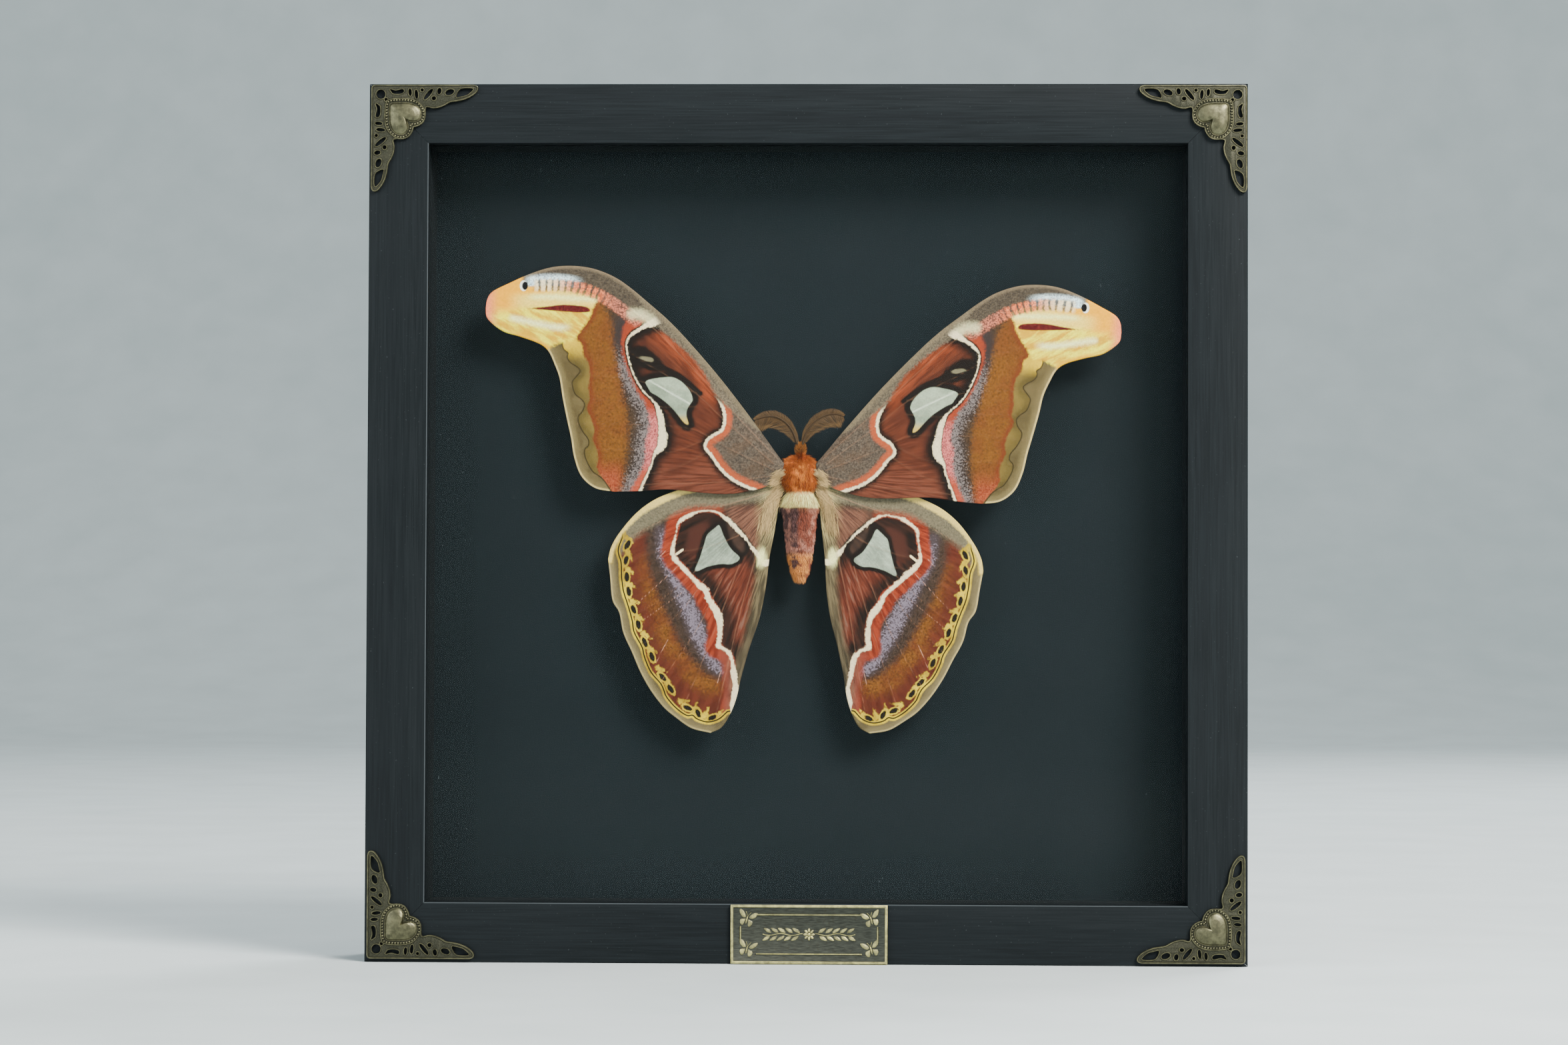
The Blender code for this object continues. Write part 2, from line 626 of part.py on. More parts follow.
def build_points(steel, collection, panel_back):
    """Flat steel points, two a side, that keep the back panel in its rabbet."""
    reach, wide, thick = 9 * MM, 6 * MM, 0.6 * MM
    wall = HALF - (FACE - RABBET) - GAP
    along = 62 * MM
    number = 0
    for quarter_turns in range(4):
        turn = Matrix.Rotation(quarter_turns * math.pi / 2, 4, "Y")
        for sign in (-1, 1):
            number += 1
            tab = bmesh.new()
            bmesh.ops.create_cube(tab, size=1, matrix=Matrix.Diagonal((wide, thick, reach, 1)))
            tip = [v for v in tab.verts if v.co.z > 0]
            bmesh.ops.scale(tab, vec=(0.45, 1, 1), verts=tip)
            made = add(f"point_{number}", tab, steel, collection)
            place = Vector((sign * along, 0, reach / 2 - wall))
            made.location = Vector((0, behind_front(panel_back + GAP + thick / 2), HALF)) + turn @ place
            made.rotation_euler = turn.to_euler()


def main():
    clear_scene()
    collection = new_collection("framed_moth_specimen")
    scratch = new_collection("cutters")
    scratch.hide_render = True
    finishes = {
        "wood": material("black_wood", (0.022, 0.027, 0.030), 0.45),
        "glass": material("clear_glass", (0.9, 0.95, 0.95), 0.03, alpha=0.12),
        "black_card": material("black_card", (0.015, 0.018, 0.020), 0.8),
        "cloth": material("black_cloth", (0.028, 0.036, 0.042), 0.9),
        "fibreboard": material("fibreboard", (0.30, 0.19, 0.10), 0.85),
        "brass": material("aged_brass", (0.36, 0.33, 0.22), 0.42, 0.9),
        "steel": material("dull_steel", (0.45, 0.45, 0.44), 0.4, 1.0),
        "wing": material("wing_scales", (0.28, 0.12, 0.05), 0.75),
        "fur": material("body_fur", (0.45, 0.14, 0.05), 0.9),
        "feeler": material("antenna_barbs", (0.22, 0.12, 0.05), 0.8),
    }
    build_frame(finishes["wood"], collection)
    board_front, panel_back = build_glazing(finishes, collection)
    build_corners(finishes["brass"], collection, scratch)
    build_plate(finishes["brass"], collection, scratch)
    build_moth(finishes, collection, scratch, board_front)
    build_hanger(finishes["steel"], collection)
    build_points(finishes["steel"], collection, panel_back)


main()
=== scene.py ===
# %% [markdown]
# # A framed atlas moth
# A black shadow box stands on a table. Behind its glass an atlas moth is spread in front of a cloth-covered
# board, and pierced brass corners and a small brass plate dress the front of the frame. This lesson loads
# the plain CAD model of that box, makes the detailed piece for each part that the eye rests on, and gives
# every other part a finish of its own.

import math

import bmesh
import bpy
import numpy as np
from mathutils import Matrix, Vector


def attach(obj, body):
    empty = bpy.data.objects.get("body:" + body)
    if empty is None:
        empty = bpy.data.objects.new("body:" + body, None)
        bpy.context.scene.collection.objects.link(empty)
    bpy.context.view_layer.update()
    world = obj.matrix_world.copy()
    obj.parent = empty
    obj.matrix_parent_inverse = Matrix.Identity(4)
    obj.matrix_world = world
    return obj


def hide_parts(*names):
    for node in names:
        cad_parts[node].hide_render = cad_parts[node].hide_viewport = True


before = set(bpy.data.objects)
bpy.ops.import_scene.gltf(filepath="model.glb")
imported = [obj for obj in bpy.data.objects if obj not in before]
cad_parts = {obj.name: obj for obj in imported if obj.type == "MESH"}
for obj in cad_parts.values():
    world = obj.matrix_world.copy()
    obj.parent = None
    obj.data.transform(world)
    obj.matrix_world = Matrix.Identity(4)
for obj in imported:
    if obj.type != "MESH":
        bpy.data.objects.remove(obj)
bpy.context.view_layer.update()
MM = 0.001
print("CAD nodes:", len(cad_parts))

# %% [markdown]
# ## One way to make a piece
# Each new piece is a mesh whose place is in its vertices, so its object stays at the origin. It rides on
# the body of the model and stands for the plain CAD nodes that it replaces. A small helper does this the
# same way every time.

# %% A helper for finished pieces
def as_data(name, mesh):
    """Mesh data from a bmesh, its faces pointing outwards."""
    bmesh.ops.recalc_face_normals(mesh, faces=mesh.faces)
    data = bpy.data.meshes.new(name)
    mesh.to_mesh(data)
    mesh.free()
    return data


def place_piece(name, data, material, nodes, sharp=35):
    """An object for this mesh data, which rides on the model and stands for the nodes."""
    data.materials.clear()
    data.materials.append(material)
    data.shade_smooth()
    data.set_sharp_from_angle(angle=math.radians(sharp))
    piece = bpy.data.objects.new(name, data)
    bpy.context.scene.collection.objects.link(piece)
    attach(piece, "root")
    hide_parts(*nodes)
    return piece


# %% [markdown]
# ## One way to make a finish
# A real surface is never one colour. Each finish here is built up in layers, as a painter would: a ground,
# then tints and marks, each laid over the last through a mask. A mask comes from noise, or from a number
# that the mesh carries at each vertex. The class below adds one node for each call, so that a finish reads
# like a recipe.

# %% A recipe book for materials
DAYLIGHT = 2.0
MIRRORED = 1.5


def rgb(red, green, blue, light=DAYLIGHT):
    """The base colour of a surface that should look like this on the screen.

    Blender's AgX view mutes strong colours and rolls off bright ones, and a curve undoes both. The light is
    how brightly this studio lights a matt white surface, or what a metal mirrors.
    """
    seen = np.array((red, green, blue)) / 255
    seen = np.clip(seen - 0.17 * (seen - seen.mean()), 0.008, 0.95)
    linear = 0.221 * (seen / (1 - seen)) ** 1.174
    linear += 0.16 * (linear - linear.mean())
    return (*np.clip(linear / light, 0.0008, 0.92).tolist(), 1.0)


class Finish:
    """A material that grows node by node. Lengths are in millimetres."""

    def __init__(self, name, roughness=0.6, metallic=0.0, shine=0.5):
        self.material = bpy.data.materials.new(name)
        self.material.use_nodes = True
        self.tree = self.material.node_tree
        self.shader = self.tree.nodes["Principled BSDF"]
        self.shader.inputs["Roughness"].default_value = roughness
        self.shader.inputs["Metallic"].default_value = metallic
        self.shader.inputs["Specular IOR Level"].default_value = shine
        self.place = self.node("ShaderNodeTexCoord").outputs["Object"]

    def node(self, kind, **settings):
        made = self.tree.nodes.new(kind)
        for name, value in settings.items():
            setattr(made, name, value)
        return made

    def feed(self, socket, value):
        """Links an input to another node's output, or sets its number or colour."""
        if isinstance(value, bpy.types.NodeSocket):
            self.tree.links.new(value, socket)
        else:
            socket.default_value = value

    def sum(self, operation, *values):
        made = self.node("ShaderNodeMath", operation=operation)
        for socket, value in zip(made.inputs, values):
            self.feed(socket, value)
        return made.outputs[0]

    def own(self, name):
        """A number that the mesh carries at each vertex."""
        return self.node("ShaderNodeAttribute", attribute_name=name).outputs["Fac"]

    def own_place(self, name):
        """A vector that the mesh carries at each vertex, and its first two parts."""
        vector = self.node("ShaderNodeAttribute", attribute_name=name).outputs["Vector"]
        parts = self.node("ShaderNodeSeparateXYZ")
        self.feed(parts.inputs[0], vector)
        return vector, parts.outputs["X"], parts.outputs["Y"]

    def part(self, vector, name):
        parts = self.node("ShaderNodeSeparateXYZ")
        self.feed(parts.inputs[0], vector)
        return parts.outputs[name]

    def step(self, value, start, end):
        """Rises smoothly from 0 to 1 between start and end. The start may be the higher of the two."""
        made = self.node("ShaderNodeMapRange", interpolation_type="SMOOTHSTEP")
        for name, number in (("Value", value), ("From Min", start), ("From Max", end)):
            self.feed(made.inputs[name], number)
        return made.outputs["Result"]

    def noise(self, size, detail=2.0, roughness=0.5, at=None, squeeze=(1, 1, 1)):
        """Noise from 0 to 1 in spots of about this size. A small squeeze draws them out along an axis."""
        mapping = self.node("ShaderNodeMapping")
        self.feed(mapping.inputs["Vector"], at or self.place)
        mapping.inputs["Scale"].default_value = squeeze
        made = self.node("ShaderNodeTexNoise")
        self.feed(made.inputs["Vector"], mapping.outputs[0])
        made.inputs["Scale"].default_value = 1 / (size * (MM if at is None else 1))
        made.inputs["Detail"].default_value = detail
        made.inputs["Roughness"].default_value = roughness
        return made.outputs["Fac"]

    def mix(self, mask, under, over, blend="MIX"):
        made = self.node("ShaderNodeMix", data_type="RGBA", blend_type=blend)
        for index, value in ((0, mask), (6, under), (7, over)):
            self.feed(made.inputs[index], value)
        return made.outputs[2]

    def both(self, *masks):
        result = masks[0]
        for mask in masks[1:]:
            result = self.sum("MULTIPLY", result, mask)
        return result

    def colour(self, value):
        self.feed(self.shader.inputs["Base Color"], value)

    def roughness(self, value, low, high):
        """Roughness between two numbers as a mask goes from 0 to 1."""
        self.feed(self.shader.inputs["Roughness"], self.sum("MULTIPLY_ADD", value, high - low, low))

    def bump(self, height, depth, strength=1.0):
        """A surface relief of this depth in millimetres where the height goes from 0 to 1."""
        made = self.node("ShaderNodeBump")
        made.inputs["Strength"].default_value = strength
        made.inputs["Distance"].default_value = depth * MM
        self.feed(made.inputs["Height"], height)
        self.feed(self.shader.inputs["Normal"], made.outputs[0])


# %% [markdown]
# ## The camera, the light and the room
# The box was photographed almost square on, from its own height, with a long lens. The light falls softly
# from the upper right: the lip of the frame throws a faint shadow on the cloth at the top and the right. A
# third lamp behind the box shows its back. A sheet of pale paper that sweeps up far behind it gives a plain
# floor and background, as in a studio.

# %% Camera and studio
LENS = 89.4
EYE = Vector((0.0301, -1.3662, 0.1159))
LOOK = Vector((-0.028, 0.9992, 0.0272)).normalized()
EYE_UP = Vector((-0.0027, -0.0273, 0.9996))


def looking(eye, direction, up):
    """A placing that puts a camera or light at eye, looking that way."""
    right = direction.cross(up).normalized()
    turn = Matrix((right, right.cross(direction), -direction)).transposed()
    return Matrix.Translation(eye) @ turn.to_4x4()


lens = bpy.data.cameras.new("camera")
lens.lens = LENS
lens.sensor_width = 36
camera = bpy.data.objects.new("camera", lens)
camera.matrix_world = looking(EYE, LOOK, EYE_UP)
bpy.context.scene.collection.objects.link(camera)
bpy.context.scene.camera = camera


def soft_light(name, eye, size, watts, tint):
    lamp = bpy.data.lights.new(name, "AREA")
    lamp.shape = "DISK"
    lamp.size = size
    lamp.energy = watts
    lamp.color = tint
    made = bpy.data.objects.new(name, lamp)
    made.matrix_world = looking(Vector(eye), (Vector((0, 0, 0.15)) - Vector(eye)).normalized(),
                                Vector((0, 0, 1)))
    bpy.context.scene.collection.objects.link(made)


soft_light("key", (0.9, -1.1, 1.2), 0.8, 84, (1.0, 0.97, 0.93))
soft_light("fill", (-1.5, -1.4, 0.7), 1.6, 26, (0.93, 0.97, 1.0))
soft_light("rear", (0.9, 1.5, 1.6), 1.0, 46, (0.97, 0.98, 1.0))

world = bpy.data.worlds.new("studio")
world.use_nodes = True
world.node_tree.nodes["Background"].inputs["Color"].default_value = (0.72, 0.82, 0.86, 1)
world.node_tree.nodes["Background"].inputs["Strength"].default_value = 0.85
bpy.context.scene.world = world

# %% The paper sweep behind and under the box
SWEEP_WALL = 3.8
SWEEP_ROUND = 1.3
SWEEP_HIGH = 4.0
SWEEP_WIDE = 12.0
sweep = bmesh.new()
floor_and_wall = [(-SWEEP_WIDE / 2, 0), (SWEEP_WALL, 0), (SWEEP_WALL, SWEEP_HIGH)]
line = [sweep.verts.new((-SWEEP_WIDE / 2, deep, high)) for deep, high in floor_and_wall]
for pair in zip(line, line[1:]):
    sweep.edges.new(pair)
bmesh.ops.bevel(sweep, geom=[line[1]], offset=SWEEP_ROUND, segments=24, profile=0.5, affect="VERTICES",
                material=-1)
grown = bmesh.ops.extrude_edge_only(sweep, edges=sweep.edges)["geom"]
bmesh.ops.translate(sweep, verts=[g for g in grown if isinstance(g, bmesh.types.BMVert)],
                    vec=(SWEEP_WIDE, 0, 0))
bmesh.ops.recalc_face_normals(sweep, faces=sweep.faces)
paper_data = bpy.data.meshes.new("paper_sweep")
sweep.to_mesh(paper_data)
sweep.free()
paper_data.shade_smooth()
paper = Finish("studio_paper", roughness=0.9)
paper.colour(paper.mix(paper.noise(60, 3), rgb(198, 202, 202), rgb(206, 209, 209)))
paper_data.materials.append(paper.material)
paper_sweep = bpy.data.objects.new("paper_sweep", paper_data)
bpy.context.scene.collection.objects.link(paper_sweep)
print("camera lens", LENS, "mm, standing", round(-EYE.y, 2), "m away")

# %% [markdown]
# ## The black mouldings
# Each side of the frame is a length of moulding: a flat face, a lip that holds the glass and a rabbet
# behind it. It is drawn once as a short outline, drawn out to a stick, rounded along its long edges, and
# cut to a mitre by pulling its ends in where the inner edge runs. Four turns of the same stick make the
# frame, with a hairline at each mitre.

# %% Moulding
SIDE = 305 * MM
HALF = SIDE / 2
DEPTH = 40 * MM
FACE = 20.7 * MM
LIP = 6 * MM
RABBET = 6 * MM
FRONT = -19.5 * MM
MITRE_GAP = 0.05 * MM
EDGE_ROUND = 0.55 * MM
ARRIS = 0.2 * MM


def moulding(side, quarter_turns, finish):
    profile = [(0, 0), (FACE, 0), (FACE, LIP), (FACE - RABBET, LIP), (FACE - RABBET, DEPTH), (0, DEPTH)]
    stick = bmesh.new()
    corners = [stick.verts.new((-1, FRONT + deep, inward - HALF)) for inward, deep in profile]
    end = stick.faces.new(corners)
    grown = bmesh.ops.extrude_face_region(stick, geom=[end])["geom"]
    bmesh.ops.translate(stick, verts=[g for g in grown if isinstance(g, bmesh.types.BMVert)], vec=(2, 0, 0))
    long_edges = [e for e in stick.edges if abs(e.verts[0].co.x - e.verts[1].co.x) > 1]
    outer = [e for e in long_edges if e.verts[0].co.y < FRONT + MM and e.verts[0].co.z < MM - HALF]
    others = [e for e in long_edges if e not in outer]
    bmesh.ops.bevel(stick, geom=others, offset=ARRIS, segments=3, profile=0.5, affect="EDGES", material=-1)
    outer = [e for e in stick.edges if abs(e.verts[0].co.x - e.verts[1].co.x) > 1
             and e.verts[0].co.y < FRONT + MM / 10 and e.verts[0].co.z < MM / 10 - HALF]
    bmesh.ops.bevel(stick, geom=outer, offset=EDGE_ROUND, segments=4, profile=0.5, affect="EDGES",
                    material=-1)
    for vertex in stick.verts:
        vertex.co.x *= -vertex.co.z - MITRE_GAP
    stick.transform(Matrix.Translation((0, 0, HALF)) @ Matrix.Rotation(-quarter_turns * math.pi / 2, 4, "Y"))
    name = f"moulding_{side}"
    return place_piece(name, as_data(name, stick), finish.material, [f"frame_{side}"])


def black_wood(name, along):
    """Satin black over a fine straight grain along the moulding, with a little dust in the pores."""
    wood = Finish(name, roughness=0.5, shine=0.1)
    squeeze = (0.02, 1, 1) if along == "X" else (1, 1, 0.02)
    fibre = wood.noise(0.45, 3, 0.6, squeeze=squeeze)
    broad = wood.noise(3.5, 2, 0.5, squeeze=squeeze)
    cloud = wood.noise(40, 2)
    ground = wood.mix(wood.step(fibre, 0.3, 0.7), rgb(17, 22, 24), rgb(26, 32, 35))
    ground = wood.mix(wood.both(wood.step(broad, 0.4, 0.7), 0.4), ground, rgb(17, 21, 24))
    ground = wood.mix(wood.both(wood.step(cloud, 0.35, 0.7), 0.3), ground, rgb(27, 33, 36))
    specks = wood.step(wood.noise(0.7, 1), 0.735, 0.78)
    ground = wood.mix(wood.both(specks, 0.5), ground, rgb(84, 92, 94))
    # Painted highlight along the inner arris of the left and the bottom moulding, where the light catches it
    axis, arris = ("Z", FACE) if along == "X" else ("X", FACE - HALF)
    aside = wood.sum("ABSOLUTE", wood.sum("SUBTRACT", wood.part(wood.place, axis), arris))
    brightened = wood.both(wood.step(aside, 0.4 * MM, 0.1 * MM),
                       wood.step(wood.part(wood.place, "Y"), FRONT + 0.5 * MM, FRONT + 0.2 * MM))
    wood.colour(wood.mix(wood.both(brightened, 0.7), ground, rgb(104, 112, 116)))
    wood.roughness(fibre, 0.42, 0.5)
    wood.bump(fibre, 0.025, 0.4)
    return wood


level_wood = black_wood("black_wood_level", "X")
upright_wood = black_wood("black_wood_upright", "Z")
for quarter_turns, (side, wood) in enumerate((
    ("bottom", level_wood), ("right", upright_wood), ("top", level_wood), ("left", upright_wood),
)):
    moulding(side, quarter_turns, wood)
print("four mouldings,", FACE / MM, "mm wide")

# %% [markdown]
# ## What the box holds and what closes it
# The glass, the spacers, the cloth-covered board, the back panel and the small steel parts already have
# their right shapes in the CAD model, so they keep them and only get a finish. The cloth is woven: two sets
# of drawn-out noise, one along each thread direction, cross each other. The glass is nearly clear with a
# faint dark body, and the light does the rest.

# %% Finishes for the parts that keep their CAD shape
def repaint(nodes, finish):
    for node in nodes:
        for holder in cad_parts[node].material_slots:
            holder.material = finish.material


cloth = Finish("black_cloth", roughness=0.95, shine=0.02)
across = cloth.noise(0.26, 2, 0.6, squeeze=(0.14, 1, 1))
upward = cloth.noise(0.26, 2, 0.6, squeeze=(1, 1, 0.14))
weave = cloth.sum("MAXIMUM", across, upward)
ground = cloth.mix(cloth.step(weave, 0.42, 0.7), rgb(23, 30, 33), rgb(34, 44, 48))
ground = cloth.mix(cloth.both(cloth.step(cloth.noise(35, 2), 0.4, 0.7), 0.25), ground, rgb(24, 30, 33))
lint = cloth.step(cloth.noise(0.9, 1), 0.755, 0.79)
cloth.colour(cloth.mix(cloth.both(lint, 0.55), ground, rgb(110, 120, 124)))
cloth.bump(weave, 0.08, 0.5)
repaint(["backing_board"], cloth)

card = Finish("black_card", roughness=0.9, shine=0.03)
card.colour(card.mix(card.noise(0.6, 4), rgb(18, 22, 24), rgb(34, 40, 43)))
card.bump(card.noise(0.3, 3), 0.05, 0.5)
repaint(["spacer_bottom", "spacer_top", "spacer_left", "spacer_right", "riser_pad"], card)

GLASS_BODY = 0.04
glass = Finish("clear_glass", roughness=0.02)
glass.colour(glass.mix(glass.noise(30, 2), rgb(60, 70, 70), rgb(74, 86, 84)))
glass.shader.inputs["Alpha"].default_value = GLASS_BODY
glass.shader.inputs["IOR"].default_value = 1.5
repaint(["glass"], glass)

fibreboard = Finish("fibreboard", roughness=0.85)
fibres = fibreboard.noise(1.6, 6, 0.65, squeeze=(1, 1, 0.5))
ground = fibreboard.mix(fibreboard.step(fibres, 0.35, 0.7), rgb(116, 84, 54), rgb(158, 122, 84))
fibreboard.colour(fibreboard.mix(fibreboard.step(fibreboard.noise(0.8, 2), 0.66, 0.74), ground,
                                 rgb(78, 54, 36)))
fibreboard.bump(fibres, 0.1, 0.5)
repaint(["back_panel"], fibreboard)

steel = Finish("dull_steel", roughness=0.4, metallic=1.0)
worn = steel.noise(2.0, 4, 0.6)
steel.colour(steel.mix(worn, rgb(112, 112, 108, MIRRORED), rgb(170, 170, 164, MIRRORED)))
steel.roughness(steel.noise(0.5, 3), 0.28, 0.55)
steel.bump(steel.noise(0.4, 2), 0.02, 0.5)
repaint(["hanger", "hanger_nail_left", "hanger_nail_right"] + [f"point_{number}" for number in range(1, 9)],
        steel)
print("the CAD nodes that stay have their finishes")

# %% [markdown]
# ## Smooth lines from a few points
# The outlines of the corners, the plate and the wings are given as points. A Catmull-Rom line passes
# smoothly through every point, so an outline needs only the points that its shape needs.

# %% Lines through points
def curve_through(points, steps=8):
    """Places along a smooth open line through a few points."""
    line = np.array(points, float)
    ends = np.vstack([2 * line[0] - line[1], line, 2 * line[-1] - line[-2]])
    t = np.linspace(0, 1, steps, endpoint=False)[:, None]
    spans = []
    for before, start, end, after in zip(ends, ends[1:], ends[2:], ends[3:]):
        spans.append(0.5 * (2 * start + (end - before) * t
                            + (2 * before - 5 * start + 4 * end - after) * t ** 2
                            + (3 * start - before - 3 * end + after) * t ** 3))
    return np.vstack([*spans, line[-1:]])


def loop_through(points, steps=8):
    """Places along a smooth closed line through a few points."""
    wrapped = [points[-1], *points, points[0]]
    return curve_through(wrapped, steps)[steps:-steps - 1]


def swapped(loop):
    """The same line on the other side of a corner's diagonal."""
    return [(b, a) for a, b in loop][::-1]


def moved_in(loop, distance):
    """A closed line moved to its left by a distance, as an array."""
    loop = np.array(loop, float)
    ahead = np.roll(loop, -1, axis=0) - np.roll(loop, 1, axis=0)
    ahead /= np.linalg.norm(ahead, axis=1)[:, None]
    return loop + distance * np.stack([-ahead[:, 1], ahead[:, 0]], axis=1)


def area_of(loop):
    x, y = np.array(loop, float).T
    return 0.5 * float(np.sum(x * np.roll(y, -1) - np.roll(x, -1) * y))


# %% [markdown]
# ## Brass in low relief
# The corners are cast in brass and then darkened, and the raised parts are rubbed bright again. A filled
# flat curve with its holes gives the pierced plate, and its own bevel rounds every edge. A thin wire laid
# along each outline makes the raised rim. Both are made mesh and joined into one pattern.

# %% Flat plates and wires from lines
UPRIGHT = Matrix.Rotation(math.pi / 2, 4, "X")


def from_curve(curve):
    """A bmesh of a curve whose flat side faces -Y. The curve is removed."""
    holder = bpy.data.objects.new("drawing", curve)
    bpy.context.scene.collection.objects.link(holder)
    bpy.context.view_layer.update()
    graph = bpy.context.evaluated_depsgraph_get()
    data = bpy.data.meshes.new_from_object(holder.evaluated_get(graph))
    drawn = bmesh.new()
    drawn.from_mesh(data)
    bmesh.ops.remove_doubles(drawn, verts=drawn.verts, dist=0.002 * MM)
    drawn.transform(UPRIGHT)
    bpy.data.meshes.remove(data)
    bpy.data.objects.remove(holder)
    bpy.data.curves.remove(curve)
    return drawn


def new_curve(loops, cyclic=True):
    curve = bpy.data.curves.new("drawing", "CURVE")
    for loop in loops:
        spline = curve.splines.new("POLY")
        spline.points.add(len(loop) - 1)
        for point, (across, up) in zip(spline.points, loop):
            point.co = (across * MM, up * MM, 0, 1)
        spline.use_cyclic_u = cyclic
    return curve


def plate_of(loops, thick, rounding):
    """A plate with holes. Its back is at Y = 0 and its front faces -Y, rounded along every edge."""
    curve = new_curve(loops)
    curve.dimensions = "2D"
    curve.fill_mode = "BOTH"
    curve.extrude = (thick / 2 - rounding) * MM
    curve.bevel_depth = rounding * MM
    curve.bevel_resolution = 1
    curve.offset = -rounding * MM
    made = from_curve(curve)
    bmesh.ops.translate(made, verts=made.verts, vec=(0, -thick / 2 * MM, 0))
    return made


def wire_of(lines, radius, height, cyclic=True):
    """Round wires along these lines, their middle standing this high above Y = 0."""
    curve = new_curve(lines, cyclic)
    curve.dimensions = "3D"
    curve.bevel_depth = radius * MM
    curve.bevel_resolution = 1
    curve.use_fill_caps = True
    made = from_curve(curve)
    bmesh.ops.translate(made, verts=made.verts, vec=(0, -height * MM, 0))
    return made


def gather(*parts):
    """One bmesh of several, each freed."""
    whole = bmesh.new()
    for part in parts:
        data = bpy.data.meshes.new("part")
        part.to_mesh(data)
        part.free()
        whole.from_mesh(data)
        bpy.data.meshes.remove(data)
    return whole


# A dome stops just short of its top, where one point closes it
DOME_SHARE = 0.94


def domed(outline, middle, height, base, rings=7):
    """A dome over a closed outline: its face is drawn up and in, ring by ring, and closed at the top."""
    dome = bmesh.new()
    face = dome.faces.new([dome.verts.new((x * MM, -base * MM, z * MM)) for x, z in outline])
    centre = Vector((middle[0] * MM, 0, middle[1] * MM))
    reach = 1.0
    for ring in range(1, rings + 1):
        angle = ring / rings * math.pi / 2 * DOME_SHARE
        goal = math.cos(angle)
        rise = height * (math.sin(angle) - math.sin((ring - 1) / rings * math.pi / 2 * DOME_SHARE))
        grown = bmesh.ops.extrude_face_region(dome, geom=[face])["geom"]
        tops = [g for g in grown if isinstance(g, bmesh.types.BMVert)]
        face = next(g for g in grown if isinstance(g, bmesh.types.BMFace))
        bmesh.ops.scale(dome, vec=(goal / reach, 1, goal / reach), verts=tops,
                        space=Matrix.Translation(-centre))
        bmesh.ops.translate(dome, verts=tops, vec=(0, -rise * MM, 0))
        reach = goal
    bmesh.ops.poke(dome, faces=[face])
    return dome


# %% [markdown]
# ## The pierced corners
# One corner is drawn with its outer point at the origin and a leg along each edge of the frame. The two
# legs mirror each other, so one leg's points are enough. A domed heart lies on the diagonal inside a ring
# of small beads, and the finished pattern is turned onto the four corners of the frame, each set in as far
# as the real one was nailed.

# %% The corner's drawing
CORNER_THICK = 0.9
CORNER_START = (1.2, 0)
CORNER_EDGE = [
    (35.6, 0), (36.9, 0.4), (37.4, 1.3), (37.1, 2.4), (36.0, 3.5), (34.3, 4.6), (32.0, 5.5), (30.0, 5.9),
    (27.6, 6.3), (25.8, 7.3), (23.8, 8.1), (21.6, 8.4), (19.4, 8.0), (19.1, 9.8), (19.0, 11.6),
    (18.2, 13.3), (16.7, 14.4),
]
CORNER_NOTCH = (15.0, 15.0)
# Round and oval holes: middle, length, width and the angle of the length in degrees
CORNER_DIAGONAL_HOLES = [((3.4, 3.4), 3.1, 3.0, 45), ((5.3, 5.3), 1.1, 0.9, 45)]
CORNER_LEG_HOLES = [
    ((13.6, 2.7), 2.4, 0.95, 85), ((15.8, 3.4), 3.0, 1.0, 84), ((17.8, 1.9), 0.9, 0.9, 0),
    ((20.0, 3.4), 4.6, 1.2, -51), ((21.9, 4.8), 1.3, 1.2, 0), ((23.8, 2.3), 2.0, 1.3, 100),
    ((27.4, 2.7), 3.0, 1.8, -20),
]
CORNER_SLOT = [(6.6, 1.7), (8.6, 2.2), (11.0, 1.7), (11.2, 2.7), (9.6, 3.2), (7.2, 2.9)]
CORNER_TIP_HOLE = [(29.8, 4.5), (31.2, 1.7), (35.3, 1.5), (34.6, 2.7), (32.7, 3.9)]
HEART_HALF = [
    (6.7, 6.7), (7.6, 6.3), (9.8, 6.25), (13.2, 6.35), (15.7, 7.1), (17.2, 8.6), (17.7, 10.4), (17.2, 12.0),
    (15.8, 13.0), (14.2, 13.1), (12.7, 12.7),
]
BORDER_HALF = [
    (5.4, 5.4), (6.2, 5.1), (8.6, 4.7), (12.9, 4.7), (15.8, 5.5), (17.8, 7.2), (19.0, 9.3), (19.0, 11.6),
    (18.2, 13.3), (16.5, 14.5), (15.0, 14.9),
]


def oval(centre, length, width, angle, points=16):
    turn = Matrix.Rotation(math.radians(angle), 2)
    rim = [(length / 2 * math.cos(t), width / 2 * math.sin(t))
           for t in np.linspace(0, math.tau, points, False)]
    return [tuple(Vector(centre) + turn @ Vector(p)) for p in rim]


def both_halves(half):
    """A closed line through a half and its mirror image, kept sharp where they meet."""
    one = [tuple(p) for p in curve_through(half, 5)]
    return one + swapped(one)[1:-1]


edge = [CORNER_START] + [tuple(p) for p in curve_through(CORNER_EDGE, 5)]
outer_line = edge + [CORNER_NOTCH] + swapped(edge) + [(0.35, 0.35)]
holes = [oval(*hole) for hole in CORNER_DIAGONAL_HOLES]
for hole in CORNER_LEG_HOLES:
    holes += [oval(*hole), swapped(oval(*hole))]
for loop in (CORNER_SLOT, CORNER_TIP_HOLE):
    smooth_loop = [tuple(p) for p in loop_through(loop, 5)]
    holes += [smooth_loop, swapped(smooth_loop)]
print("corner drawn with", len(holes), "holes")

# %% The corner's pattern
RIM_WIRE = 0.3
BEAD = 0.42


def down(loop):
    """Second numbers run inwards on the drawing and downwards on the frame."""
    return [(float(a), -float(b)) for a, b in loop]


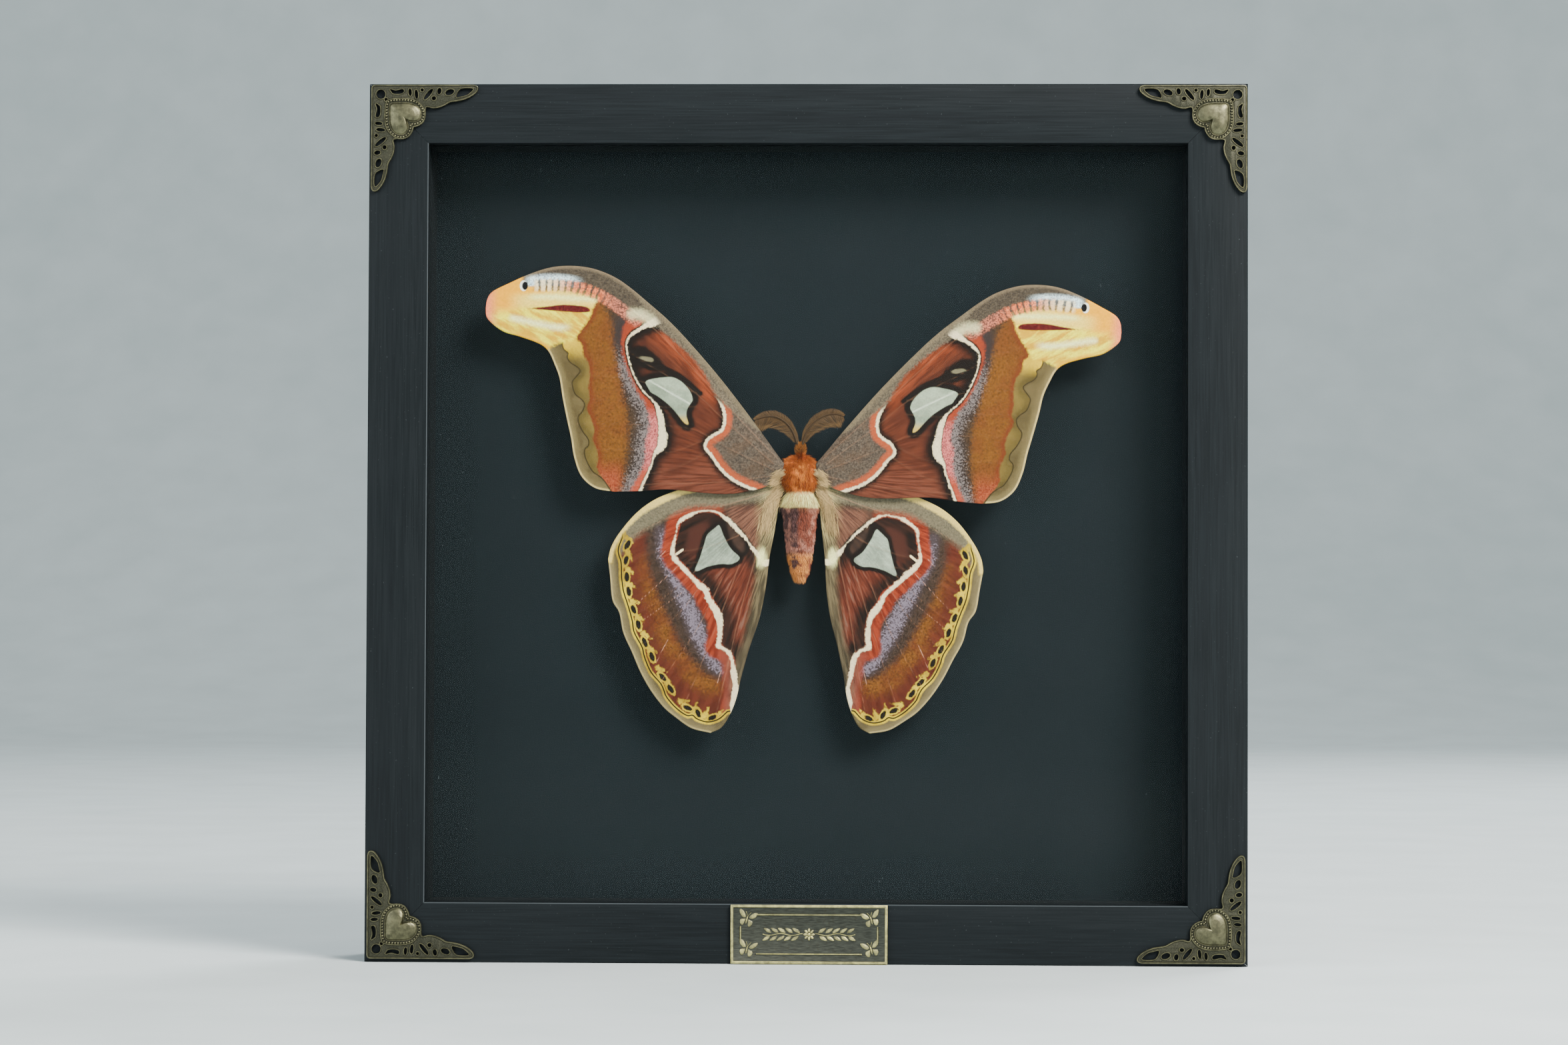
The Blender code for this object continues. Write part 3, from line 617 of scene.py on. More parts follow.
def rim_line(loop, distance):
    """The line of a rim wire, inside an outline or around a hole."""
    sign = 1 if area_of(loop) > 0 else -1
    return moved_in(loop, sign * distance)


def bead_row(line, pitch, radius, height):
    """Small beads along a closed line."""
    closed = np.vstack([line, line[:1]])
    lengths = np.concatenate([[0], np.cumsum(np.hypot(*np.diff(closed, axis=0).T))])
    count = round(lengths[-1] / pitch)
    row = bmesh.new()
    for goal in np.linspace(0, lengths[-1], count, endpoint=False):
        at = [np.interp(goal, lengths, closed[:, axis]) * MM for axis in (0, 1)]
        bmesh.ops.create_icosphere(row, subdivisions=2, radius=radius * MM,
                                   matrix=Matrix.Translation((at[0], -height * MM, at[1])))
    return row, count


heart = down(both_halves(HEART_HALF))
border = down(both_halves(BORDER_HALF))
middle = (HEART_HALF[-1][0] - 1.6, -(HEART_HALF[-1][1] - 1.6))
bead_line = 0.5 * (np.array(heart) + np.array(border))
beads, bead_count = bead_row(bead_line, 1.0, BEAD, CORNER_THICK + 0.15)
rims = [rim_line(down(outer_line), RIM_WIRE)] + [rim_line(down(hole), -RIM_WIRE * 0.8) for hole in holes]
pattern = gather(
    plate_of([down(outer_line)] + [down(hole) for hole in holes], CORNER_THICK, 0.2),
    wire_of([rims[0]], RIM_WIRE, CORNER_THICK + 0.04),
    wire_of(rims[1:], RIM_WIRE * 0.75, CORNER_THICK + 0.06),
    wire_of([rim_line(border, 0.25)], 0.3, CORNER_THICK + 0.12),
    wire_of([rim_line(heart, 0.1)], 0.2, CORNER_THICK + 0.1),
    beads,
    domed([tuple(p) for p in rim_line(heart, 0.15)], middle, 1.75, CORNER_THICK - 0.15),
)
pattern_data = as_data("corner_pattern", pattern)
print("pattern of", len(pattern_data.polygons), "faces with", bead_count, "beads")

# %% [markdown]
# Old brass is dark in its hollows, where dirt and patina stay, and bright on the rims that are touched. The
# finish asks how far each place stands out from the frame, and goes from dark to bright with it.

# %% Aged brass
def aged_brass(name, hollow, proud, patina, polish, brushed=1.0):
    """Brass that brightens between two distances from the frame's front, in millimetres."""
    brass = Finish(name, roughness=0.4, metallic=1.0)
    out = brass.sum("MULTIPLY_ADD", brass.part(brass.place, "Y"), -1 / MM, FRONT / MM)
    patches = brass.noise(2.2, 4, 0.6)
    fine = brass.noise(0.35, 3, 0.6, squeeze=(brushed, 1, 1))
    lifted = brass.sum("MULTIPLY_ADD", brass.sum("SUBTRACT", patches, 0.5), 0.12, out)
    brightened = brass.step(lifted, hollow, proud)
    dark = brass.mix(brass.step(fine, 0.25, 0.75), patina[0], patina[1])
    bright = brass.mix(brass.step(patches, 0.3, 0.7), polish[0], polish[1])
    tint = brass.mix(brightened, dark, bright)
    grime = brass.step(brass.noise(1.3, 3), 0.56, 0.72)
    brass.colour(brass.mix(brass.both(grime, 0.3), tint, rgb(60, 54, 38, MIRRORED)))
    brass.roughness(brass.sum("MULTIPLY_ADD", fine, 0.5, brass.both(brightened, -0.3)), 0.46, 0.74)
    brass.bump(fine, 0.04, 0.5)
    return brass


corner_brass = aged_brass(
    "aged_brass_corners", 1.2, 1.46,
    patina=(rgb(52, 51, 40, MIRRORED), rgb(88, 88, 70, MIRRORED)),
    polish=(rgb(92, 90, 66, MIRRORED), rgb(132, 129, 98, MIRRORED)),
)
SET_IN = {"top_left": (0.7, 0.4), "top_right": (0.3, 0.6), "bottom_right": (0.9, 1.0),
          "bottom_left": (0.9, 1.2)}
BRASS_GAP = 0.3
for quarter_turns, (corner, (across, up)) in enumerate(SET_IN.items()):
    sign_x = -1 if "left" in corner else 1
    sign_z = -1 if "bottom" in corner else 1
    place = Vector((sign_x * (HALF - across * MM), FRONT - BRASS_GAP * MM, HALF + sign_z * (HALF - up * MM)))
    data = pattern_data.copy()
    data.transform(Matrix.Translation(place) @ Matrix.Rotation(quarter_turns * math.pi / 2, 4, "Y"))
    place_piece(f"brass_corner_{corner}", data, corner_brass.material, [f"corner_{corner}"])
bpy.data.meshes.remove(pattern_data)
print("four corners, legs of", CORNER_EDGE[2][0], "mm")

# %% [markdown]
# ## The brass plate
# A small plate is let in over the bottom moulding. It has a raised border, a thin line frame that stops
# short of its corners, a butterfly in each of them, and in the middle a leafy sprig. The plate is a block
# whose front is inset and pushed in to make the field, and the motifs are small rounded plates and wires
# laid on it.

# %% The plate's motifs
PLATE_WIDE = 54.1
PLATE_HIGH = 20.3
PLATE_THICK = 1.2
PLATE_X = 1.5
PLATE_LOW = 0.25
PLATE_RIM = 1.2
PLATE_LINE = 3.4
RELIEF = 0.4
BUTTERFLY_INSET = (5.6, 5.0)
FORE_LOBE = [(0.25, 0.4), (0.9, 1.7), (2.0, 2.75), (3.1, 3.1), (3.35, 2.6), (2.9, 1.4), (2.0, 0.5),
             (0.9, 0.1)]
HIND_LOBE = [(0.25, 0.1), (1.2, 0.0), (2.1, -0.3), (2.35, -1.2), (1.8, -2.2), (1.0, -2.45), (0.5, -1.5)]
LEAF = [(0, 0), (1.0, 0.75), (2.4, 0.65), (3.6, 0), (2.4, -0.5), (1.0, -0.5)]
TILT = 14


def laid(line, at, angle=0.0, mirror=False):
    """A line turned and moved on the plate, or its mirror image."""
    turn = Matrix.Rotation(math.radians(angle), 2)
    made = [tuple(Vector(at) + turn @ Vector((-x if mirror else x, y))) for x, y in line]
    return made[::-1] if mirror else made


def butterfly(at, angle):
    """Four domed wing lobes, a body and two feelers."""
    parts = []
    for mirror in (False, True):
        for lobe in (FORE_LOBE, HIND_LOBE):
            shape = laid([tuple(p) for p in loop_through(lobe, 4)], at, angle, mirror)
            centre = np.mean(np.array(shape), axis=0)
            parts.append(domed(shape, centre, 0.32, PLATE_THICK - RELIEF - 0.05, rings=4))
        feeler = laid([(0.1, 0.9), (0.35, 1.7), (0.9, 2.6)], at, angle, mirror)
        parts.append(wire_of([feeler], 0.1, PLATE_THICK - RELIEF + 0.12, cyclic=False))
    body = laid(oval((0, -0.3), 3.0, 0.62, 90), at, angle)
    parts.append(domed(body, at, 0.42, PLATE_THICK - RELIEF - 0.05, rings=4))
    return parts


def sprig(reach):
    """A stem with paired leaves to both sides of a round flower."""
    parts = []
    ground = PLATE_THICK - RELIEF - 0.05
    for petal in range(8):
        angle = petal * 45
        shape = laid(oval((1.35, 0), 1.7, 0.95, 0), (0, 0), angle)
        parts.append(domed(shape, np.mean(np.array(shape), axis=0), 0.3, ground, rings=3))
    parts.append(domed(oval((0, 0), 1.3, 1.3, 0), (0, 0), 0.5, ground, rings=4))
    for mirror in (False, True):
        sway = [(x, 0.35 * math.sin(x * 0.8)) for x in np.linspace(2.2, reach, 14)]
        parts.append(wire_of([laid(sway, (0, 0), 0, mirror)], 0.2, ground + 0.1, cyclic=False))
        for index in range(5):
            start = 3.0 + index * (reach - 3.6) / 5
            sign = -1 if mirror else 1
            for side in (1, -1):
                leaf = [(x, side * y) for x, y in LEAF]
                shape = loop_through(laid(leaf, (0, 0), side * 34), 4)
                at = (sign * (start + 0.4 * (side < 0)), side * 0.25)
                shape = laid([tuple(p) for p in shape], at, 0, mirror)
                parts.append(domed(shape, np.mean(np.array(shape), axis=0), 0.3, ground, rings=3))
    return parts


wide, high = PLATE_WIDE / 2, PLATE_HIGH / 2
at_x, at_z = wide - BUTTERFLY_INSET[0], high - BUTTERFLY_INSET[1]
motifs = sprig(at_x - 5.5)
for sign_x in (-1, 1):
    for sign_z in (-1, 1):
        motifs += butterfly((sign_x * at_x, sign_z * at_z), sign_x * TILT)
level, upright = high - PLATE_LINE, wide - PLATE_LINE
lines = []
for sign in (-1, 1):
    lines.append([(3.2 - at_x, sign * level), (at_x - 3.2, sign * level)])
    lines.append([(sign * upright, 2.4 - at_z), (sign * upright, at_z - 2.4)])
motifs.append(wire_of(lines, 0.26, PLATE_THICK - RELIEF + 0.1, cyclic=False))
print("plate motifs:", len(motifs))

# %% The plate itself
block = bmesh.new()
bmesh.ops.create_cube(block, size=1,
                      matrix=Matrix.Diagonal((PLATE_WIDE * MM, PLATE_THICK * MM, PLATE_HIGH * MM, 1)))
bmesh.ops.translate(block, verts=block.verts, vec=(0, -PLATE_THICK / 2 * MM, 0))
front = min(block.faces, key=lambda face: face.calc_center_median().y)
bmesh.ops.inset_individual(block, faces=[front], thickness=PLATE_RIM * MM, depth=0)
bmesh.ops.inset_individual(block, faces=[front], thickness=0.12 * MM, depth=-RELIEF * MM)
sharp = [e for e in block.edges if e.calc_face_angle(0) > 0.5]
bmesh.ops.bevel(block, geom=sharp, offset=0.12 * MM, segments=2, profile=0.5, affect="EDGES", material=-1)
plate_place = Matrix.Translation((PLATE_X * MM, FRONT - BRASS_GAP * MM, (PLATE_LOW + high) * MM))
plate = gather(block, *motifs)
plate.transform(plate_place)
FIELD = BRASS_GAP + PLATE_THICK - RELIEF
plate_brass = aged_brass(
    "aged_brass_plate", FIELD + 0.04, FIELD + RELIEF - 0.14,
    patina=(rgb(58, 60, 53, MIRRORED), rgb(92, 95, 84, MIRRORED)),
    polish=(rgb(166, 162, 122, MIRRORED), rgb(200, 196, 156, MIRRORED)),
    brushed=0.12,
)
place_piece("brass_plate", as_data("brass_plate", plate), plate_brass.material, ["name_plate"])
print("plate", PLATE_WIDE, "x", PLATE_HIGH, "mm")

# %% [markdown]
# ## How the wings' markings are drawn
# The moth's pattern is not painted from a picture. Each marking is a shape whose points are given in
# millimetres from the middle of the thorax, on the left wing. For every vertex of a fine wing mesh the script
# works out how deep it lies inside each shape, or how far it is from each line, and the mesh carries those
# distances. The material then turns a distance into an edge as sharp or as soft as the real one, and frays it
# with noise, so the markings stay crisp however close the camera comes.

# %% Distances to shapes and lines
def nearest_on(line, points):
    """How far each point is from a line of places, and how far along the line its nearest place is."""
    best = np.full(len(points), np.inf)
    along = np.zeros(len(points))
    travelled = 0.0
    for start, end in zip(line[:-1], line[1:]):
        span = end - start
        length = math.hypot(*span)
        if length == 0:
            continue
        share = np.clip((points - start) @ span / length ** 2, 0, 1)
        away = np.hypot(*(points - start - share[:, None] * span).T)
        closer = away < best
        best[closer] = away[closer]
        along[closer] = travelled + share[closer] * length
        travelled += length
    return best, along


def depth_in(loop, points):
    """How deep each point lies inside a closed line, and below zero how far outside."""
    closed = np.vstack([loop, loop[:1]])
    x, y = points.T
    inside = np.zeros(len(points), bool)
    for (x0, y0), (x1, y1) in zip(closed[:-1], closed[1:]):
        if y0 != y1:
            crossed = (y0 > y) != (y1 > y)
            inside ^= crossed & (x < x0 + (y - y0) * (x1 - x0) / (y1 - y0))
    return np.where(inside, 1, -1) * nearest_on(closed, points)[0]


def beyond(line, *outside):
    """A closed shape: a smooth line across the wing, closed by a few places off the wing."""
    return np.vstack([curve_through(line, 6), np.array(outside, float)])


# %% [markdown]
# ## The wing sheets
# A wing is a sheet that spans its costa (the front edge), its outer margin and its inner edge. A plain grid
# is bent into it with a Coons patch, which blends the four edges across the sheet. The sheet is slightly
# cambered, its veins stand up as fine ridges, and a Solidify modifier gives it its thickness. The right
# wings mirror the left ones, turned and scaled a little, because the real moth is not quite even.

# %% Wing outlines, in millimetres from the middle of the thorax
MOTH_X = -2.6
MOTH_Z = 169.3
RIGHT_TURN = math.radians(4)
RIGHT_SIZE = 0.982
FORE_COSTA = [
    (-5.4, 4.3), (-7.8, 7.3), (-16.5, 19.3), (-27.7, 33.8), (-38.9, 46.8), (-46.3, 54.5), (-53.3, 60.6),
    (-59.4, 65.7), (-65.4, 69.7), (-72.6, 72.5), (-79.9, 73.5), (-87.3, 73.0), (-94.8, 70.7),
    (-102.2, 67.4), (-107.8, 64.6), (-109.8, 62.0), (-110.4, 58.6),
]
FORE_MARGIN = [
    (-110.4, 58.6), (-109.7, 54.9), (-104.5, 50.6), (-98.5, 48.7), (-91.8, 46.3), (-88.4, 43.7),
    (-86.2, 39.2), (-84.3, 34.0), (-83.2, 27.3), (-81.5, 19.1), (-80.2, 13.2), (-79.0, 6.1), (-76.5, -0.3),
    (-71.7, -4.4), (-65.0, -5.7),
]
FORE_INNER = [
    (-65.0, -5.7), (-56.0, -5.5), (-46.3, -4.9), (-33.7, -6.1), (-24.0, -6.4), (-14.3, -4.7), (-9.3, -2.5),
    (-6.7, -1.3),
]
HIND_COSTA = [
    (-6.7, -2.4), (-12.5, -2.0), (-25.0, -2.2), (-36.2, -3.2), (-44.4, -5.7), (-51.3, -8.7), (-57.5, -13.4),
    (-63.1, -20.0), (-66.0, -25.0), (-67.1, -29.3),
]
HIND_MARGIN = [
    (-67.1, -29.3), (-66.3, -36.2), (-65.5, -43.7), (-63.1, -48.1), (-61.7, -55.0), (-58.6, -61.9),
    (-55.6, -68.8), (-51.9, -75.3), (-47.5, -81.0), (-43.1, -84.7), (-37.6, -88.4), (-31.0, -90.0),
]
HIND_INNER = [
    (-31.0, -90.0), (-27.2, -88.2), (-24.3, -83.8), (-22.0, -78.0), (-20.3, -70.6), (-17.5, -60.6),
    (-14.0, -50.0), (-11.8, -39.4), (-10.6, -29.3), (-9.0, -20.6), (-7.8, -13.5), (-7.2, -9.2),
]
# Where the veins run, from the root outwards
FORE_VEINS = [
    [(-8, 6), (-27, 26), (-40, 40), (-52, 52), (-66, 62), (-84, 67)],
    [(-9, 4), (-26, 19), (-38, 30), (-52, 38), (-66, 47), (-80, 52)],
    [(-36, 29), (-48, 31), (-62, 34), (-84, 36)],
    [(-36, 24), (-48, 24), (-62, 26), (-83, 27)],
    [(-9, 2), (-26, 10), (-34.4, 14.9), (-42.6, 17), (-62, 18), (-81, 18)],
    [(-34.4, 12), (-45.6, 8.1), (-62, 9), (-80, 9)],
    [(-31, 9), (-45, 2), (-60, 0), (-76, 0)],
    [(-9, 0), (-30, -2.5), (-50, -3), (-66, -4.5)],
]
HIND_VEINS = [
    [(-9, -5), (-25, -10), (-44, -14), (-64, -24)],
    [(-11, -8), (-20, -20), (-37, -26), (-52, -27), (-66, -34)],
    [(-24, -30), (-40, -31), (-54, -36), (-65, -42)],
    [(-36, -33), (-48, -43), (-62, -51)],
    [(-33, -36), (-42, -48), (-58, -62)],
    [(-27, -36), (-36, -54), (-51, -76)],
    [(-21, -31), (-28, -50), (-42, -85)],
    [(-14, -24), (-20, -45), (-24, -62), (-30, -88)],
]


class Edge:
    """A smooth edge that gives the places at shares of its length."""

    def __init__(self, points):
        self.line = curve_through(points, 10)
        self.lengths = np.concatenate([[0], np.cumsum(np.hypot(*np.diff(self.line, axis=0).T))])

    def at(self, share):
        goal = share * self.lengths[-1]
        return np.stack([np.interp(goal, self.lengths, self.line[:, axis]) for axis in (0, 1)], axis=-1)


def spanned(costa, margin, inner, u, v):
    """The place in a wing at u, from the body to the margin, and v, from the costa to the inner edge."""
    front, outer, rear = Edge(costa), Edge(margin), Edge(inner[::-1])
    root = Edge([costa[0], inner[-1]])
    near, far, low_far, low_near = (np.array(p) for p in (costa[0], costa[-1], inner[0], inner[-1]))
    u, v = u[:, None], v[:, None]
    ruled = (front.at(u[:, 0]) * (1 - v) + rear.at(u[:, 0]) * v
             + root.at(v[:, 0]) * (1 - u) + outer.at(v[:, 0]) * u)
    flat = (near * (1 - u) + far * u) * (1 - v) + (low_near * (1 - u) + low_far * u) * v
    return ruled - flat


def to_side(side, pivot, points):
    """Places on the left wing, or on the right one: mirrored, turned down and a little smaller."""
    if side == "left":
        return points
    centre = np.array((-pivot[0], pivot[1]))
    cos, sin = math.cos(-RIGHT_TURN), math.sin(-RIGHT_TURN)
    turn = np.array(((cos, -sin), (sin, cos)))
    return centre + RIGHT_SIZE * ((points * (-1, 1) - centre) @ turn.T)


def on_frame(flat, depth):
    """Model places, in metres, for points in the wings' plane and depths behind the front of the frame."""
    return np.column_stack([(MOTH_X + flat[:, 0]) * MM, FRONT + depth * MM, (MOTH_Z + flat[:, 1]) * MM])


print("outlines of", len(FORE_COSTA) + len(FORE_MARGIN) + len(FORE_INNER), "points for a forewing")

# %% The forewing's markings
OFF = 140
FORE_WHITE_OUTER = [
    (-47.8, 57.8), (-53.8, 54.3), (-56.4, 52.3), (-59.0, 50.8), (-60.8, 48.5), (-61.6, 45.9), (-61.2, 42.2),
    (-60.1, 38.1), (-58.8, 34.7), (-57.1, 31.4), (-55.3, 28.8), (-53.0, 26.6), (-51.2, 24.3), (-50.4, 21.3),
    (-49.8, 18.4), (-49.7, 13.1), (-50.2, 10.2), (-51.4, 7.9), (-52.1, 4.6), (-53.2, 2.0), (-54.3, -0.3),
    (-55.6, -2.9), (-56.9, -6.2),
]
FORE_WHITE_INNER = [
    (-45.6, 55.6), (-49.7, 52.3), (-53.8, 51.0), (-56.4, 49.8), (-58.6, 48.2), (-59.9, 46.3), (-59.6, 42.2),
    (-58.6, 38.5), (-57.3, 35.1), (-55.9, 32.4), (-53.8, 29.5), (-50.8, 26.6), (-49.0, 24.5), (-47.8, 22.1),
    (-47.2, 19.1), (-46.7, 16.1), (-46.1, 13.1), (-46.7, 10.2), (-48.4, 8.1), (-50.2, 6.8), (-51.1, 4.2),
    (-52.0, 2.0), (-52.9, -0.3), (-54.1, -2.9), (-55.1, -6.2),
]
FORE_PINK = [
    (-59.7, 55.6), (-61.6, 52.3), (-62.5, 48.9), (-62.5, 45.2), (-61.6, 40.7), (-60.1, 36.2), (-58.2, 31.8),
    (-56.4, 28.4), (-54.5, 25.8), (-53.4, 22.8), (-52.6, 19.1), (-52.6, 16.1), (-53.6, 13.1), (-54.1, 10.2),
    (-53.9, 7.2), (-54.5, 4.2), (-55.6, 1.2), (-57.0, -1.4), (-58.5, -4.0), (-59.4, -6.2),
]
FORE_GREY = [
    (-69.4, 60.1), (-66.4, 54.1), (-65.7, 48.2), (-64.6, 42.2), (-63.4, 36.2), (-62.3, 30.3), (-61.2, 24.3),
    (-60.1, 18.4), (-60.3, 12.4), (-60.8, 6.4), (-61.6, 0.5), (-62.7, -6.2),
]
FORE_OLIVE = [
    (-72.4, 59.3), (-73.5, 55.6), (-78.3, 48.8), (-76.5, 45.9), (-75.9, 42.2), (-74.2, 39.2), (-73.7, 34.7),
    (-74.1, 30.3), (-73.7, 26.6), (-74.6, 23.6), (-73.1, 19.8), (-72.0, 16.1), (-72.5, 12.4), (-71.3, 9.4),
    (-70.7, 6.4), (-71.0, 2.7), (-69.4, -0.6), (-66.4, -4.7), (-65.7, -7.0),
]
FORE_WAVY = [
    (-81.3, 50.2), (-82.2, 48.2), (-83.4, 46.3), (-82.8, 44.1), (-81.3, 42.9), (-81.7, 41.5), (-80.6, 39.6),
    (-78.3, 38.1), (-77.0, 36.6), (-78.3, 34.7), (-79.8, 32.9), (-79.6, 30.7), (-78.7, 28.4), (-76.5, 26.6),
    (-75.4, 24.9), (-76.1, 22.5), (-77.6, 20.6), (-77.5, 18.4), (-76.1, 15.4), (-74.2, 12.8), (-74.0, 10.5),
    (-75.4, 9.0), (-75.2, 6.4), (-73.9, 3.5), (-72.4, 1.2), (-70.2, -0.3), (-68.3, -2.1), (-65.7, -6.2),
]
FORE_BASAL = [
    (-31.4, 33.3), (-29.2, 29.2), (-27.3, 25.8), (-25.9, 22.1), (-25.8, 18.4), (-26.7, 15.8), (-28.4, 14.4),
    (-30.3, 13.4), (-31.8, 12.0), (-32.7, 10.3), (-31.9, 9.0), (-30.3, 7.2), (-28.1, 3.8), (-25.5, 0.9),
    (-22.5, -1.4), (-19.1, -3.1), (-15.8, -4.4), (-12.1, -6.2),
]
FORE_STRIP = [
    (-62.0, 73.5), (-57.5, 63.8), (-53.8, 56.3), (-50.0, 51.9), (-45.6, 48.2), (-40.4, 43.7), (-35.5, 38.5),
    (-32.2, 33.3), (-30.3, 29.5), (-27.7, 25.8), (-17.0, 17.5), (-5.3, 10.9),
]
FORE_RAYS = [
    (-98.0, 66.2), (-92.5, 66.8), (-85.1, 66.9), (-78.3, 66.0), (-72.4, 64.2), (-67.2, 61.6), (-62.7, 58.4),
    (-57.5, 54.5),
]
FORE_WINDOW = [
    (-54.1, 32.4), (-52.3, 33.6), (-48.6, 34.2), (-45.2, 34.4), (-42.6, 33.5), (-40.4, 31.8), (-38.5, 29.5),
    (-37.5, 26.6), (-38.5, 24.7), (-39.5, 22.8), (-39.6, 20.6), (-38.9, 18.0), (-40.4, 18.4), (-43.7, 22.5),
    (-46.3, 25.1), (-49.7, 27.7), (-52.6, 29.5),
]
FORE_SPOT = [
    (-59.1, 42.9), (-57.5, 44.1), (-54.9, 44.3), (-52.3, 42.3), (-49.7, 40.0), (-48.2, 37.4), (-50.8, 37.1),
    (-53.8, 38.1), (-57.1, 39.4),
]
FORE_SPOT_LIGHT = [(-56.4, 41.0), (-54.9, 41.7), (-52.2, 41.2), (-51.0, 40.1), (-53.4, 39.8)]
FORE_MAROON = [
    (-95.4, 58.5), (-88.8, 59.2), (-83.6, 59.8), (-78.3, 59.6), (-74.4, 58.8), (-74.0, 57.3), (-78.3, 57.1),
    (-83.6, 57.5), (-88.8, 57.9),
]
FORE_APEX = [
    (-70.5, 62.0), (-72.8, 58.5), (-74.6, 54.5), (-78.3, 49.0), (-80.2, 46.9), (-84.0, 46.6), (-88.0, 44.5),
    (-94.0, 40.0),
]
FORE_PALE_STREAK = [(-101.0, 55.2), (-94.0, 53.6), (-86.0, 52.0), (-79.8, 51.9)]
FORE_CREAM_STREAK = [(-97.0, 62.6), (-88.0, 62.6), (-78.0, 62.0), (-70.5, 61.4), (-63.0, 57.6)]
FORE_HAZE = [(-58.6, 56.6), (-56.0, 56.4), (-52.6, 54.6)]
FORE_PANE_VEIN = [(-53.0, 33.4), (-46.0, 29.4), (-38.5, 25.0)]
FORE_DARK_VEIN = [(-50.0, 38.8), (-44.0, 35.8), (-38.8, 32.0), (-34.8, 28.6)]
FORE_EYE = (-96.6, 66.5)


def forewing_marks(points):
    """Every distance that the forewing's finish reads, in millimetres."""
    left_off = ((-57, -30), (-OFF, -30), (-OFF, 110), (-40, 110))
    right_off = ((-50, -30), (40, -30), (40, 110), (-38, 110))
    rays, rays_along = nearest_on(curve_through(FORE_RAYS), points)
    hump = depth_in(beyond(FORE_RAYS, (-50, 62), (-50, 110), (-98, 110)), points)
    eye = np.array(FORE_EYE)
    return {
        "past_white": depth_in(beyond(FORE_WHITE_OUTER, *left_off), points),
        "before_white": depth_in(beyond(FORE_WHITE_INNER, *right_off), points),
        "past_pink": depth_in(beyond(FORE_PINK, *left_off), points),
        "past_grey": depth_in(beyond(FORE_GREY, (-62, -30), (-OFF, -30), (-OFF, 110), (-69, 110)), points),
        "past_olive": depth_in(beyond(FORE_OLIVE, (-65, -30), (-OFF, -30), (-OFF, 110), (-72, 110)), points),
        "past_wavy": depth_in(beyond(FORE_WAVY, (-65, -30), (-OFF, -30), (-OFF, 47), (-90, 47)), points),
        "basal": depth_in(beyond(FORE_BASAL, (-12, -30), (40, -30), (40, 50), (-25, 50)), points),
        "strip": depth_in(beyond(FORE_STRIP, (20, 11), (20, 110), (-62, 110)), points),
        "window": depth_in(loop_through(FORE_WINDOW), points),
        "spot": depth_in(loop_through(FORE_SPOT), points),
        "spot_light": depth_in(loop_through(FORE_SPOT_LIGHT), points),
        "maroon": depth_in(loop_through(FORE_MAROON), points),
        "apex": depth_in(beyond(FORE_APEX, (-OFF, 40), (-OFF, 110), (-72, 110)), points),
        "hump": hump,
        "rays": np.where(hump > 0, rays, -rays),
        "rays_along": rays_along,
        "pale_streak": nearest_on(curve_through(FORE_PALE_STREAK), points)[0],
        "cream_streak": nearest_on(curve_through(FORE_CREAM_STREAK), points)[0],
        "haze": nearest_on(curve_through(FORE_HAZE), points)[0],
        "pane_vein": nearest_on(curve_through(FORE_PANE_VEIN), points)[0],
        "dark_vein": nearest_on(curve_through(FORE_DARK_VEIN), points)[0],
        "eye": np.hypot(*((points - eye) * (1.15, 0.8)).T),
        "eye_crescent": np.hypot(*((points - eye - (-0.5, 0.0)) * (1.1, 0.8)).T),
        "costa": nearest_on(curve_through(FORE_COSTA), points)[0],
        "margin": nearest_on(curve_through(FORE_MARGIN), points)[0],
        "veins": np.min([nearest_on(curve_through(vein), points)[0] for vein in FORE_VEINS], axis=0),
    }


# %% The hindwing's markings
HIND_WHITE_INNER = [
    (-13.4, -31.8), (-15.4, -28.3), (-17.1, -25.9), (-19.3, -22.7), (-21.7, -20.1), (-24.0, -17.9),
    (-26.2, -15.8), (-28.5, -13.9), (-31.2, -12.9), (-35.0, -13.2), (-37.8, -14.3), (-40.3, -15.9),
    (-41.7, -17.1), (-42.2, -19.6), (-42.9, -22.1), (-43.4, -24.3), (-43.6, -26.7), (-42.7, -28.6),
    (-40.2, -31.1), (-37.5, -34.1), (-34.4, -37.0), (-31.6, -39.6), (-30.5, -42.5), (-28.8, -45.1),
    (-27.2, -47.8), (-26.5, -51.1), (-26.5, -54.4), (-26.7, -56.9), (-27.0, -58.9), (-25.0, -60.1),
    (-23.0, -62.8), (-22.1, -66.3), (-21.8, -69.4), (-21.3, -72.2), (-20.7, -75.0), (-20.5, -78.8),
]
HIND_WHITE_OUTER = [
    (-12.3, -29.0), (-15.0, -25.8), (-16.6, -23.9), (-18.1, -21.7), (-20.4, -18.8), (-23.0, -16.2),
    (-25.3, -14.1), (-28.1, -12.4), (-31.2, -11.6), (-35.0, -11.8), (-38.4, -12.8), (-41.6, -14.6),
    (-43.4, -16.5), (-43.9, -19.0), (-44.4, -21.8), (-45.0, -24.3), (-45.4, -27.2), (-44.3, -29.8),
    (-41.9, -32.3), (-39.2, -35.4), (-36.4, -38.5), (-34.0, -40.9), (-33.0, -43.9), (-31.4, -46.4),
    (-29.9, -48.8), (-29.1, -51.5), (-29.0, -54.5), (-29.2, -57.2), (-29.8, -60.4), (-26.5, -61.8),
    (-24.8, -63.8), (-24.2, -66.4), (-24.0, -69.4), (-23.4, -72.8), (-23.4, -75.3), (-24.2, -79.4),
]
